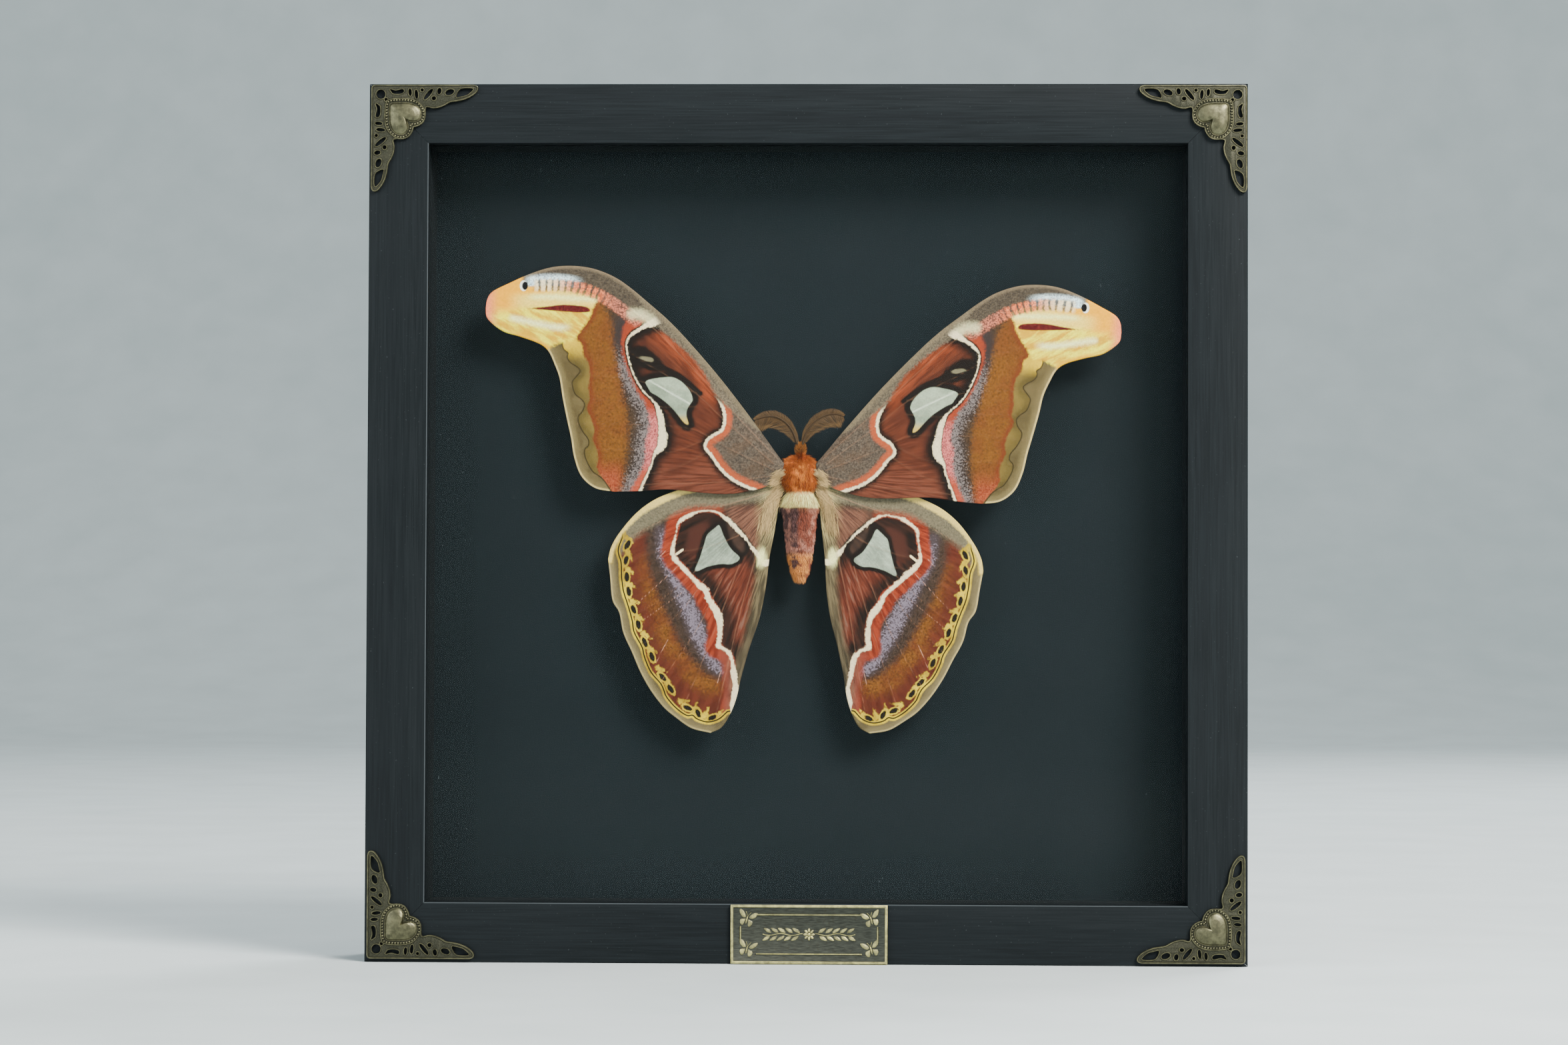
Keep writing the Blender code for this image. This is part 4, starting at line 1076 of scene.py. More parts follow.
HIND_LILAC = [
    (-50.0, -17.0), (-50.3, -20.0), (-50.0, -24.3), (-49.7, -28.1), (-48.1, -31.8), (-45.6, -37.5),
    (-43.1, -43.7), (-40.6, -50.0), (-38.1, -56.2), (-35.0, -61.9), (-31.9, -66.9), (-28.7, -69.4),
    (-25.2, -69.2), (-27.5, -65.0), (-29.0, -63.1), (-30.0, -60.0), (-31.9, -55.6), (-34.0, -50.0),
    (-36.2, -44.4), (-39.4, -38.7), (-42.5, -33.7), (-45.0, -29.3), (-45.9, -25.0), (-46.1, -21.8),
    (-46.6, -18.0),
]
HIND_BROWN = [
    (-53.1, -15.6), (-53.1, -21.8), (-52.8, -28.1), (-51.6, -33.7), (-49.4, -40.0), (-46.9, -46.2),
    (-43.7, -53.1), (-40.6, -59.4), (-36.2, -65.0), (-31.2, -69.4), (-24.2, -71.5),
]
HIND_ORANGE = [
    (-54.4, -29.3), (-54.4, -35.6), (-53.1, -42.5), (-50.9, -50.0), (-48.1, -57.5), (-45.0, -63.1),
    (-41.2, -68.8), (-36.2, -73.8), (-30.0, -75.6), (-28.0, -72.0), (-32.0, -69.0), (-40.6, -59.4),
    (-46.9, -46.2), (-51.6, -33.7),
]
HIND_BLACK_LINE = [
    (-62.2, -21.8), (-63.6, -26.2), (-62.5, -30.6), (-62.3, -35.6), (-61.6, -40.6), (-60.0, -45.6),
    (-58.6, -50.6), (-57.8, -55.0), (-55.1, -60.0), (-54.1, -63.8), (-51.9, -68.8), (-48.7, -72.5),
    (-47.5, -74.7), (-46.4, -77.5), (-43.1, -81.3), (-39.4, -83.9), (-37.2, -83.9), (-35.6, -85.2),
    (-31.9, -86.2), (-28.1, -85.2), (-25.0, -82.5),
]
# Black oval spots in the yellow chain: their half length and width, then each one's middle and angle
SPOT_LONG = 1.75
SPOT_WIDE = 0.85
HIND_SPOTS = [
    ((-60.3, -24.3), 60), ((-60.8, -29.7), 75), ((-60.5, -35.6), 90), ((-59.8, -40.6), 100),
    ((-58.1, -46.9), 112), ((-56.4, -52.2), 105), ((-54.1, -58.4), 112), ((-51.6, -63.4), 112),
    ((-47.8, -70.6), 135), ((-45.0, -74.7), 125), ((-39.0, -81.3), 155), ((-35.3, -83.2), 115),
    ((-30.3, -84.7), 20),
]
# Yellow teeth that point into the dark red
HIND_TEETH = [
    [(-60.6, -22.0), (-58.6, -23.4)], [(-60.2, -27.2), (-58.6, -30.0)], [(-60.0, -33.0), (-58.6, -34.0)],
    [(-60.0, -38.0), (-57.6, -39.0)], [(-58.5, -44.2), (-56.2, -44.6)], [(-56.5, -49.6), (-54.6, -51.0)],
    [(-54.6, -55.4), (-51.4, -57.4)], [(-52.6, -60.6), (-50.0, -62.0)], [(-49.5, -67.5), (-44.6, -69.2)],
    [(-46.2, -72.3), (-43.9, -74.2)], [(-41.5, -79.0), (-36.6, -78.8)], [(-36.8, -82.6), (-35.0, -77.6)],
    [(-33.0, -84.0), (-31.6, -81.2)], [(-29.0, -84.4), (-26.6, -81.6)], [(-61.8, -20.5), (-62.0, -16.4)],
]
HIND_WINDOW = [
    (-28.4, -17.3), (-26.5, -21.2), (-24.0, -25.6), (-20.9, -28.8), (-23.7, -30.9), (-27.5, -30.9),
    (-31.9, -31.8), (-36.4, -33.4), (-35.0, -29.3), (-33.4, -24.3), (-31.9, -20.0),
]
HIND_WEDGE = [
    (-27.5, -15.6), (-25.0, -14.9), (-21.8, -17.5), (-19.0, -20.6), (-17.4, -24.3), (-18.0, -27.2),
    (-20.9, -28.8), (-24.0, -25.6), (-26.5, -21.2),
]
HIND_COSTAL_ZONE = [
    (-6.0, -8.4), (-18.7, -9.3), (-27.5, -10.9), (-35.0, -10.9), (-40.0, -11.8), (-46.9, -14.9),
    (-51.3, -17.5), (-56.3, -20.6), (-60.6, -24.3), (-64.0, -31.0),
]
HIND_CREAM = [
    (-33.0, -4.6), (-37.5, -5.8), (-41.9, -7.0), (-48.1, -9.8), (-53.8, -12.8), (-58.4, -16.6),
    (-61.6, -20.3), (-64.6, -26.0), (-65.5, -31.0),
]
HIND_FUR = [
    (-6.0, -10.0), (-9.8, -14.0), (-12.5, -20.0), (-13.4, -25.0), (-13.6, -31.8), (-15.0, -40.6),
    (-16.8, -50.0), (-18.7, -58.1), (-21.2, -66.9), (-21.8, -76.4),
]
HIND_TUFT = (-13.4, -28.6)
HIND_DASH = [(-43.2, -27.6), (-40.9, -26.0)]
# Pale scratches through the scales. The right wing mirrors them too
HIND_SCRATCHES = [
    [(-42.5, -31.8), (-56.8, -44.8)], [(-45.9, -57.2), (-50.0, -65.3)], [(-46.8, -26.4), (-50.6, -29.9)],
    [(-40.2, -40.4), (-54.5, -50.5)], [(-27.4, -68.2), (-28.6, -72.6)],
]


def spot_distance(points, spots, length, width):
    """Distance to the nearest of some ovals, 0 at its middle and 1 at its rim."""
    best = np.full(len(points), np.inf)
    for centre, angle in spots:
        cos, sin = math.cos(math.radians(angle)), math.sin(math.radians(angle))
        away = (points - centre) @ np.array(((cos, -sin), (sin, cos)))
        best = np.minimum(best, np.hypot(away[:, 0] / length, away[:, 1] / width))
    return best


def hindwing_marks(points):
    """Every distance that the hindwing's finish reads, in millimetres."""
    return {
        "past_white": depth_in(beyond(HIND_WHITE_OUTER, (-24, -OFF), (-OFF, -OFF), (-OFF, 40), (20, 40),
                                      (20, -27)),
                               points),
        "before_white": depth_in(beyond(HIND_WHITE_INNER, (-20, -100), (30, -100), (30, -32)), points),
        "lilac": depth_in(loop_through(HIND_LILAC), points),
        "past_brown": depth_in(beyond(HIND_BROWN, (0, -72), (0, -OFF), (-OFF, -OFF), (-OFF, -10),
                                      (-54, -10)), points),
        "orange": depth_in(loop_through(HIND_ORANGE), points),
        "past_line": depth_in(beyond(HIND_BLACK_LINE, (0, -80), (0, -OFF), (-OFF, -OFF), (-OFF, -15),
                                     (-62, -15)),
                              points),
        "spots": spot_distance(points, HIND_SPOTS, SPOT_LONG, SPOT_WIDE),
        "teeth": np.min([nearest_on(np.array(tooth), points)[0]
                         + 0.28 * nearest_on(np.array(tooth), points)[1]
                         for tooth in HIND_TEETH], axis=0),
        "window": depth_in(loop_through(HIND_WINDOW), points),
        "wedge": depth_in(loop_through(HIND_WEDGE), points),
        "costal": depth_in(beyond(HIND_COSTAL_ZONE, (-OFF, -31), (-OFF, 60), (20, 60), (20, -8)), points),
        "cream": depth_in(beyond(HIND_CREAM, (-OFF, -31), (-OFF, 60), (-33, 60)), points),
        "fur": depth_in(beyond(HIND_FUR, (-22, -OFF), (40, -OFF), (40, -10)), points),
        "tuft": np.hypot(*((points - HIND_TUFT) * (1.0, 0.55)).T),
        "dash": nearest_on(np.array(HIND_DASH), points)[0],
        "scratches": np.min([nearest_on(np.array(line), points)[0] for line in HIND_SCRATCHES], axis=0),
        "margin": nearest_on(curve_through(HIND_MARGIN), points)[0],
        "veins": np.min([nearest_on(curve_through(vein), points)[0] for vein in HIND_VEINS], axis=0),
    }


one_place = np.zeros((1, 2))
print("markings:", len(forewing_marks(one_place)), "on a forewing,", len(hindwing_marks(one_place)),
      "on a hindwing")

# %% [markdown]
# ## The forewing's finish
# The recipe lays the colours down from the ground up, in the order in which they cover each other: the
# red-brown field, the grey root, the bands outside the white line, the sandy margin, the snake-head tip,
# the hump with its rays, and last the clear window, the spots and the white lines. Scales are tiny, so a
# fine speckle runs through it all.

# %% Shared touches of both wings
class WingFinish(Finish):
    """A finish that reads a wing's distances and frays their edges."""

    def __init__(self, name):
        super().__init__(name, roughness=0.72, shine=0.05)
        self.at, self.x, self.y = self.own_place("wing")
        fan = self.node("ShaderNodeAttribute", attribute_name="fan").outputs["Vector"]
        self.grit = self.noise(0.8, 4, 0.7, at=self.at)
        self.scales = self.noise(0.55, 5, 0.8, at=self.at)
        self.dust = self.noise(0.55, 3, 0.7, at=self.at)
        self.cloud = self.noise(7, 3, 0.55, at=self.at)
        self.streak = self.noise(1.0, 3, 0.6, at=fan)
        self.ground = None

    def lay(self, mask, colour):
        """The next layer, over all the ones before it."""
        self.ground = self.mix(mask, self.ground, colour)

    def frayed(self, name, fray):
        """A distance with its edge roughened by about this much."""
        shift = self.sum("MULTIPLY_ADD", self.grit, fray * 4, -fray * 2)
        return self.sum("ADD", self.own(name), shift)

    def inside(self, name, soft=0.5, fray=0.3, start=0.0):
        """1 beyond this distance inside a shape, with a soft frayed edge."""
        return self.step(self.frayed(name, fray), start - soft / 2, start + soft / 2)

    def dusted(self, density):
        """Single pale scales, more of them where the density goes from 0 to 1."""
        seen = self.step(self.sum("MULTIPLY_ADD", density, 0.22, self.dust), 0.62, 0.72)
        return self.both(seen, self.step(density, 0.0, 0.2))

    def speckled(self, dark, light, start=0.4, end=0.6):
        """Scales of two colours side by side."""
        return self.mix(self.step(self.scales, start, end), dark, light)

    def streaked(self, dark, light, start=0.38, end=0.62):
        """Two colours in streaks that run out from the root."""
        return self.mix(self.step(self.streak, start, end), dark, light)


BLACK_SCALES = rgb(28, 20, 16)
WHITE_SCALES = rgb(216, 211, 194)


def forewing_finish():
    wing = WingFinish("forewing_scales")
    x, y, own, step, both, lay = wing.x, wing.y, wing.own, wing.step, wing.both, wing.lay
    # The red-brown field between the white lines, brighter beside the costal strip and paler to the rear
    wing.ground = wing.streaked(rgb(98, 42, 26), rgb(136, 66, 40))
    lay(both(step(wing.cloud, 0.4, 0.65), 0.5), rgb(118, 54, 34))
    lay(both(step(y, 9, -1), step(wing.streak, 0.3, 0.7), 0.65), rgb(160, 96, 70))
    lay(both(step(own("strip"), -6.0, -1.2), step(y, 22, 28), 0.8),
        wing.streaked(rgb(150, 66, 36), rgb(186, 98, 58)))
    # It darkens to black along the white lines, widely beside the spot and in the rear half
    widely = wing.sum("ADD", step(y, 31, 35), step(y, 23, 19))
    lay(step(wing.frayed("before_white", 0.8), wing.sum("MULTIPLY_ADD", widely, 3.4, 1.2), 0.4), BLACK_SCALES)
    lay(both(step(wing.frayed("basal", 0.7), -3.6, -1.0), step(y, 31, 24)), BLACK_SCALES)
    # The second spot and the window have black surrounds
    lay(wing.inside("spot", 1.6, 0.6, -1.2), BLACK_SCALES)
    lay(wing.inside("spot_light", 0.5, 0.25), rgb(150, 144, 112))
    lay(wing.inside("window", 1.3, 0.5, -2.2), BLACK_SCALES)
    lay(step(wing.frayed("dark_vein", 0.3), 1.3, 0.5), BLACK_SCALES)
    pane = wing.mix(wing.step(wing.cloud, 0.3, 0.7), rgb(162, 174, 154), rgb(186, 194, 178))
    pane = wing.mix(step(own("pane_vein"), 0.5, 0.1), pane, rgb(206, 210, 200))
    pane = wing.mix(step(y, 22, 18.6), pane, rgb(206, 192, 122))
    lay(wing.inside("window", 0.4, 0.08), pane)
    # The grey root with an orange rim
    root = wing.speckled(rgb(84, 73, 61), rgb(132, 116, 97))
    root = wing.mix(both(step(wing.cloud, 0.45, 0.65), 0.4), root, rgb(124, 92, 64))
    root = wing.mix(step(wing.frayed("basal", 0.5), 2.8, 1.3), root, rgb(196, 112, 72))
    lay(wing.inside("basal", 0.5, 0.3), root)
    # Outside the white line: orange-red and rose, then dark grey with pale scales, then orange-brown
    rose = wing.mix(step(y, 25, 19), rgb(182, 82, 52), wing.speckled(rgb(176, 92, 92), rgb(214, 154, 148)))
    rose = wing.mix(step(y, 5, 0), rose, rgb(198, 106, 78))
    lay(wing.inside("past_white", 0.5, 0.3), rose)
    grey = wing.mix(step(own("past_pink"), 1.5, 6.5), rgb(70, 57, 52),
                    wing.speckled(rgb(64, 46, 34), rgb(104, 76, 46)))
    pale_scales = wing.dusted(both(step(own("past_pink"), 7.0, 0.5), step(y, 50, 36)))
    grey = wing.mix(both(pale_scales, 0.75), grey, rgb(162, 152, 148))
    lay(wing.inside("past_pink", 1.6, 0.9), grey)
    orange = wing.speckled(rgb(128, 78, 28), rgb(164, 108, 44), 0.36, 0.64)
    orange = wing.mix(both(step(wing.cloud, 0.38, 0.6), 0.7), orange,
                      wing.speckled(rgb(128, 72, 30), rgb(156, 90, 42)))
    orange = wing.mix(step(wing.frayed("past_olive", 1.0), -2.6, -0.2), orange, rgb(146, 68, 34))
    orange = wing.mix(both(step(y, 7, -2), step(x, -60, -65)), orange,
                      wing.speckled(rgb(164, 66, 42), rgb(190, 112, 70)))
    lay(wing.inside("past_grey", 3.4, 1.6), orange)
    # The sandy margin: yellow-olive lobes inside the wavy line, khaki outside it
    olive = wing.mix(step(own("past_wavy"), -4.2, -0.6), rgb(160, 140, 68), rgb(116, 98, 44))
    olive = wing.mix(both(step(wing.cloud, 0.4, 0.6), 0.6), olive, rgb(138, 118, 54))
    olive = wing.mix(step(y, 40, 46), olive, wing.mix(wing.cloud, rgb(198, 180, 64), rgb(224, 210, 104)))
    lay(wing.inside("past_olive", 0.9, 0.5), olive)
    khaki = wing.mix(step(own("margin"), 0.6, 3.4), rgb(158, 144, 96), rgb(116, 100, 56))
    khaki = wing.mix(both(step(wing.cloud, 0.4, 0.62), 0.6), khaki, rgb(140, 124, 78))
    khaki = wing.mix(step(own("margin"), 0.9, 0.3), khaki, rgb(206, 196, 154))
    lay(wing.inside("past_wavy", 0.7, 0.15), khaki)
    wavy = both(step(wing.sum("ABSOLUTE", own("past_wavy")), 0.36, 0.12), step(y, 49.5, 47.5))
    lay(both(wavy, 0.85), rgb(66, 54, 26))
    # The tip, like a snake's head: yellow below, cream and peach above, pink at the very end
    tip = wing.mix(step(y, 57.5, 60.5), wing.streaked(rgb(216, 192, 76), rgb(232, 220, 124)),
                   rgb(234, 212, 150))
    tip = wing.mix(both(step(wing.frayed("pale_streak", 0.5), 2.2, -0.4), step(x, -79, -84)), tip,
                   rgb(244, 236, 204))
    tip = wing.mix(both(step(y, 62.0, 65.0), step(x, -82, -94)), tip, rgb(250, 204, 118))
    tip = wing.mix(both(step(wing.frayed("cream_streak", 0.5), 1.9, -0.4), step(x, -97, -92)), tip,
                   rgb(244, 230, 196))
    tip = wing.mix(both(step(x, -96, -104), step(y, 55, 60)), tip, rgb(250, 202, 126))
    tip = wing.mix(step(x, -105, -110.5), tip, rgb(244, 180, 158))
    tip = wing.mix(both(step(own("margin"), 2.0, 0.4), step(x, -104, -98)), tip, rgb(222, 198, 70))
    lay(wing.inside("apex", 1.4, 0.6), tip)
    maroon = wing.mix(step(wing.grit, 0.45, 0.65), rgb(106, 20, 22), rgb(150, 52, 44))
    lay(wing.inside("maroon", 0.5, 0.15), maroon)
    # The hump above: grey-brown scales, a blue-white bloom and pink rays between dark strokes
    bloom = wing.speckled(rgb(146, 152, 166), rgb(212, 220, 230), 0.34, 0.56)
    blue = both(step(own("rays"), 4.4, 2.4), step(x, -75, -82), step(x, -97.5, -94.5))
    hump = wing.mix(blue, wing.speckled(rgb(80, 69, 56), rgb(118, 104, 82)), bloom)
    hump = wing.mix(both(step(own("costa"), 1.6, 0.4), 0.6), hump, rgb(166, 150, 120))
    lay(both(wing.inside("hump", 0.8, 0.5, -0.4), step(x, -98.5, -96.5)), hump)
    phase = wing.sum("MULTIPLY_ADD", wing.cloud, 7.0,
                     wing.sum("MULTIPLY", own("rays_along"), math.tau / 2.35))
    beat = wing.sum("SINE", phase)
    stroke = step(wing.sum("ADD", beat, wing.sum("MULTIPLY", wing.grit, 3.2)), 2.7, 1.4)
    reach = both(wing.inside("rays", 1.4, 0.5, -2.2), step(wing.frayed("rays", 0.5), 2.4, 1.2),
                 step(x, -94.5, -92))
    rays = wing.mix(step(x, -90, -78), rgb(234, 214, 196),
                    wing.speckled(rgb(206, 122, 84), rgb(236, 176, 136)))
    rays = wing.mix(stroke, rgb(98, 82, 70), rays)
    rays = wing.mix(step(x, -72, -64), rays, wing.speckled(rgb(90, 66, 54), rgb(214, 160, 134)))
    lay(both(reach, 0.9), rays)
    # The strip along the costa, with a pale haze where the white line meets it
    strip = wing.speckled(rgb(106, 96, 78), rgb(144, 132, 107))
    strip = wing.mix(both(step(own("costa"), 2.4, 0.6), 0.5), strip, rgb(164, 150, 118))
    lay(both(wing.inside("strip", 1.6, 0.8), step(x, -63, -57)), strip)
    lay(both(step(wing.frayed("haze", 0.7), 3.2, 0.3), 0.85), rgb(208, 206, 182))
    # The white lines, the eye and the veins
    gap = wing.sum("MAXIMUM", wing.frayed("past_white", 0.35), wing.frayed("before_white", 0.6))
    gap = wing.sum("MULTIPLY_ADD", step(y, 18, 26), 0.3, gap)
    lay(both(step(gap, 0.0, -0.5), step(own("strip"), 3.0, 0.0)), WHITE_SCALES)
    rim = step(wing.sum("ABSOLUTE", wing.sum("ADD", wing.frayed("basal", 0.4), 0.5)), 0.75, 0.3)
    lay(both(rim, step(own("strip"), 0.5, -1.0), step(y, 28, 25)), WHITE_SCALES)
    lay(step(own("eye_crescent"), 1.65, 1.4), rgb(236, 230, 216))
    lay(step(own("eye"), 1.35, 1.05), rgb(22, 20, 22))
    lay(both(step(own("veins"), 0.3, 0.06), 0.12), rgb(200, 168, 136))
    return wing


def hindwing_finish():
    wing = WingFinish("hindwing_scales")
    x, y, own, step, both, lay = wing.x, wing.y, wing.own, wing.step, wing.both, wing.lay
    # Dark red towards the margin, with a golden-brown patch and a dark brown band
    wing.ground = wing.streaked(rgb(104, 38, 25), rgb(132, 56, 36))
    lay(both(step(wing.cloud, 0.42, 0.62), 0.5), rgb(124, 58, 34))
    gold = wing.speckled(rgb(112, 64, 22), rgb(166, 110, 46), 0.38, 0.62)
    lay(both(wing.inside("orange", 6.0, 2.5, -0.6),
             wing.sum("MULTIPLY_ADD", step(wing.cloud, 0.35, 0.6), 0.55, 0.45)),
        gold)
    lay(step(wing.frayed("past_brown", 1.3), 2.6, -1.2), wing.speckled(rgb(50, 36, 29), rgb(96, 72, 54)))
    # Pale scales over it make the lilac band
    lay(both(wing.inside("lilac", 3.4, 0.9, -0.2), 0.8), rgb(98, 83, 86))
    lay(both(wing.dusted(both(step(own("lilac"), -1.6, 2.2), step(y, -15, -26))), 0.75), rgb(162, 152, 164))
    # The red band outside the white line
    red = wing.streaked(rgb(146, 48, 30), rgb(184, 84, 54))
    lay(both(step(wing.frayed("past_white", 0.5), 3.9, 2.3), step(x, -25, -29)), red)
    lay(both(step(y, -60, -63), step(wing.frayed("past_white", 0.5), 3.6, 1.2), step(x, -30, -27)),
        rgb(172, 84, 62))
    # The grey-tan zone behind the costa and its cream edge
    tan = wing.speckled(rgb(124, 116, 90), rgb(150, 142, 114))
    tan = wing.mix(both(step(wing.streak, 0.4, 0.6), 0.45), tan, rgb(150, 140, 112))
    lay(wing.inside("costal", 3.4, 1.0), tan)
    lay(wing.inside("cream", 1.2, 0.4), rgb(214, 204, 150))
    # Silky red-brown between the loop and the fur
    silk = wing.streaked(rgb(108, 66, 50), rgb(158, 112, 86))
    lay(both(step(x, -27, -23), step(y, -9.0, -12.5), step(own("past_white"), -0.2, 0.4)), silk)
    # Inside the loop: a red fan with pale silk, and black-brown next to the line
    fan = wing.streaked(rgb(104, 42, 28), rgb(148, 72, 48))
    fan = wing.mix(both(step(wing.streak, 0.56, 0.66), 0.55), fan, rgb(158, 130, 110))
    near_line = step(wing.frayed("before_white", 1.0), 6.5, 1.5)
    inner = wing.mix(wing.sum("MAXIMUM", near_line, step(y, -31, -26)), fan,
                     wing.streaked(BLACK_SCALES, rgb(72, 38, 27)))
    lobe = both(step(own("before_white"), 2.2, 4.8), step(y, -29, -26), step(x, -30, -33), 0.85)
    inner = wing.mix(lobe, inner, rgb(98, 48, 34))
    lay(wing.inside("before_white", 0.5, 0.3), inner)
    wedge = wing.mix(step(own("wedge"), 1.0, 2.6), BLACK_SCALES,
                     wing.streaked(rgb(66, 46, 36), rgb(94, 64, 48)))
    lay(wing.inside("wedge", 0.8, 0.3), wedge)
    # The window and its black edge
    lay(wing.inside("window", 0.9, 0.5, -1.5), BLACK_SCALES)
    pane = wing.mix(step(wing.cloud, 0.3, 0.7), rgb(156, 166, 150), rgb(182, 190, 176))
    pane = wing.mix(both(step(wing.streak, 0.45, 0.6), 0.25), pane, rgb(200, 206, 196))
    lay(wing.inside("window", 0.4, 0.08), pane)
    lay(step(own("dash"), 0.5, 0.3), rgb(220, 214, 194))
    # Silky olive and cream fur along the inner margin
    fur = wing.streaked(rgb(94, 83, 56), rgb(156, 142, 104))
    lay(step(wing.frayed("fur", 0.9), -2.8, 0.4),
        wing.mix(step(y, -30, -60), fur, wing.streaked(rgb(78, 68, 46), rgb(122, 108, 78))))
    lay(both(step(x, -17, -8), step(wing.streak, 0.42, 0.6), step(y, -26, -18)), rgb(204, 196, 156))
    # The yellow chain with its black spots, the black line and the sandy margin
    yellow = wing.mix(step(wing.cloud, 0.3, 0.7), rgb(188, 166, 56), rgb(214, 202, 92))
    sand = wing.mix(step(own("margin"), 0.4, 3.2), rgb(164, 152, 110), rgb(116, 102, 64))
    sand = wing.mix(both(step(wing.cloud, 0.4, 0.62), 0.6), sand, rgb(142, 128, 88))
    sand = wing.mix(step(own("margin"), 0.8, 0.2), sand, rgb(198, 188, 148))
    not_costal = step(own("cream"), 0.8, -0.6)
    lay(both(step(wing.frayed("teeth", 0.7), 1.35, 0.7), not_costal), yellow)
    lay(step(wing.frayed("spots", 0.35), 1.7, 1.4), yellow)
    lay(both(wing.inside("past_line", 0.4, 0.12, -0.7), not_costal), yellow)
    lay(step(wing.frayed("spots", 0.25), 1.15, 0.85), rgb(34, 27, 18))
    lay(both(wing.inside("past_line", 0.6, 0.12, 0.9), not_costal), sand)
    lay(both(step(wing.sum("ABSOLUTE", own("past_line")), 0.32, 0.14), not_costal), rgb(36, 30, 18))
    # The white line, the tuft where it meets the inner margin, the veins and a few scratches
    gap = wing.sum("MAXIMUM", wing.frayed("past_white", 0.35), wing.frayed("before_white", 0.5))
    gap = wing.sum("MULTIPLY_ADD", wing.cloud, 2.2, gap)
    lay(step(gap, 1.05, 0.5), WHITE_SCALES)
    lay(both(step(wing.sum("ADD", own("tuft"), wing.sum("MULTIPLY", wing.streak, 3)), 4.2, 2.2), 0.9),
        rgb(228, 220, 192))
    lay(both(step(own("veins"), 0.28, 0.06), step(own("past_line"), 0.0, -1.0), 0.25), rgb(196, 160, 130))
    lay(both(step(own("scratches"), 0.24, 0.08), step(wing.grit, 0.35, 0.55), 0.7), rgb(206, 178, 160))
    return wing


def scaly(wing):
    """The last touches: scales that catch the light, and a fine relief."""
    lights = wing.mix(wing.step(wing.scales, 0.32, 0.68), (0.7, 0.68, 0.67, 1), (1.1, 1.08, 1.06, 1))
    wing.colour(wing.mix(0.75, wing.ground, lights, "MULTIPLY"))
    wing.roughness(wing.scales, 0.62, 0.8)
    wing.bump(wing.sum("ADD", wing.scales, wing.both(wing.streak, 0.8)), 0.06, 0.5)
    return wing.material


forewing_scales = scaly(forewing_finish())
hindwing_scales = scaly(hindwing_finish())
print("forewing finish:", len(forewing_scales.node_tree.nodes), "nodes, hindwing finish:",
      len(hindwing_scales.node_tree.nodes))

# %% [markdown]
# ## Spreading the wings
# Each wing starts as a flat grid. Its vertices are moved to their places all at once, as arrays, because a
# forewing has almost thirty thousand of them. The fan coordinates run around and away from the wing's root,
# which lets noise draw streaks along the veins.

# %% Wings
WING_THICK = 0.35
VEIN_RIDGE = 0.16
VEIN_WIDE = 0.55
RIPPLE = 0.22
# How much deeper the tip of a wing lies than its root
TIP_SETBACK = 0.8
# How fast the streaks' noise runs around the root and away from it
FAN_AROUND = 42
FAN_OUT = 0.09
# Each side reads its noise at another level, so that the two wings differ
NOISE_LEVEL = {"left": 3.0, "right": 9.0}
WINGS = {
    "forewing": dict(outline=(FORE_COSTA, FORE_MARGIN, FORE_INNER), grid=(230, 125), depth=13.2, camber=1.3,
                     pivot=(-6, 1), marks=forewing_marks, root=(-4.0, 0.0), finish=forewing_scales),
    "hindwing": dict(outline=(HIND_COSTA, HIND_MARGIN, HIND_INNER), grid=(150, 140), depth=15.2, camber=0.9,
                     pivot=(-6, -6), marks=hindwing_marks, root=(-4.0, -3.0), finish=hindwing_scales),
}


def grid_data(name, columns, rows):
    sheet = bmesh.new()
    bmesh.ops.create_grid(sheet, x_segments=columns, y_segments=rows, size=0.5)
    data = bpy.data.meshes.new(name)
    sheet.to_mesh(data)
    sheet.free()
    return data


def spread(kind, side):
    """One wing with all its distances, and its flat places and depths for the fur that lies on it."""
    facts = WINGS[kind]
    data = grid_data(f"{kind}_sheet_{side}", *facts["grid"])
    raw = np.empty(len(data.vertices) * 3)
    data.vertices.foreach_get("co", raw)
    u, v = raw.reshape(-1, 3)[:, 0] + 0.5, raw.reshape(-1, 3)[:, 1] + 0.5
    flat = spanned(*facts["outline"], u, v)
    marks = facts["marks"](flat)
    ridge = VEIN_RIDGE * np.exp(-(marks["veins"] / VEIN_WIDE) ** 2) * np.clip(marks["margin"] / 6, 0, 1)
    ripple = RIPPLE * np.sin(u * 9 + v * 14) * np.sin(math.pi * v) * u
    camber = facts["camber"] * np.sin(math.pi * v) ** 2 * (1 - u ** 2)
    depth = facts["depth"] + TIP_SETBACK * u ** 3 - camber - ridge + ripple
    data.vertices.foreach_set("co", on_frame(to_side(side, facts["pivot"], flat), depth).ravel())
    for name, values in marks.items():
        data.attributes.new(name, "FLOAT", "POINT").data.foreach_set("value", values.astype(np.float32))
    away = flat - np.array(facts["root"])
    angle, reach = np.arctan2(away[:, 1], -away[:, 0]), np.hypot(*away.T)
    vectors = {"wing": (flat[:, 0], flat[:, 1]), "fan": (angle * FAN_AROUND, reach * FAN_OUT)}
    for name, (first, second) in vectors.items():
        packed = np.column_stack([first, second, np.full(len(first), NOISE_LEVEL[side])])
        layer = data.attributes.new(name, "FLOAT_VECTOR", "POINT")
        layer.data.foreach_set("vector", packed.ravel().astype(np.float32))
    data.update()
    piece = place_piece(f"{kind}_{side}_scaled", data, facts["finish"], [f"{kind}_{side}"],
                        sharp=60)
    skin = piece.modifiers.new("skin", "SOLIDIFY")
    skin.thickness = WING_THICK * MM
    skin.offset = 0
    return flat, depth


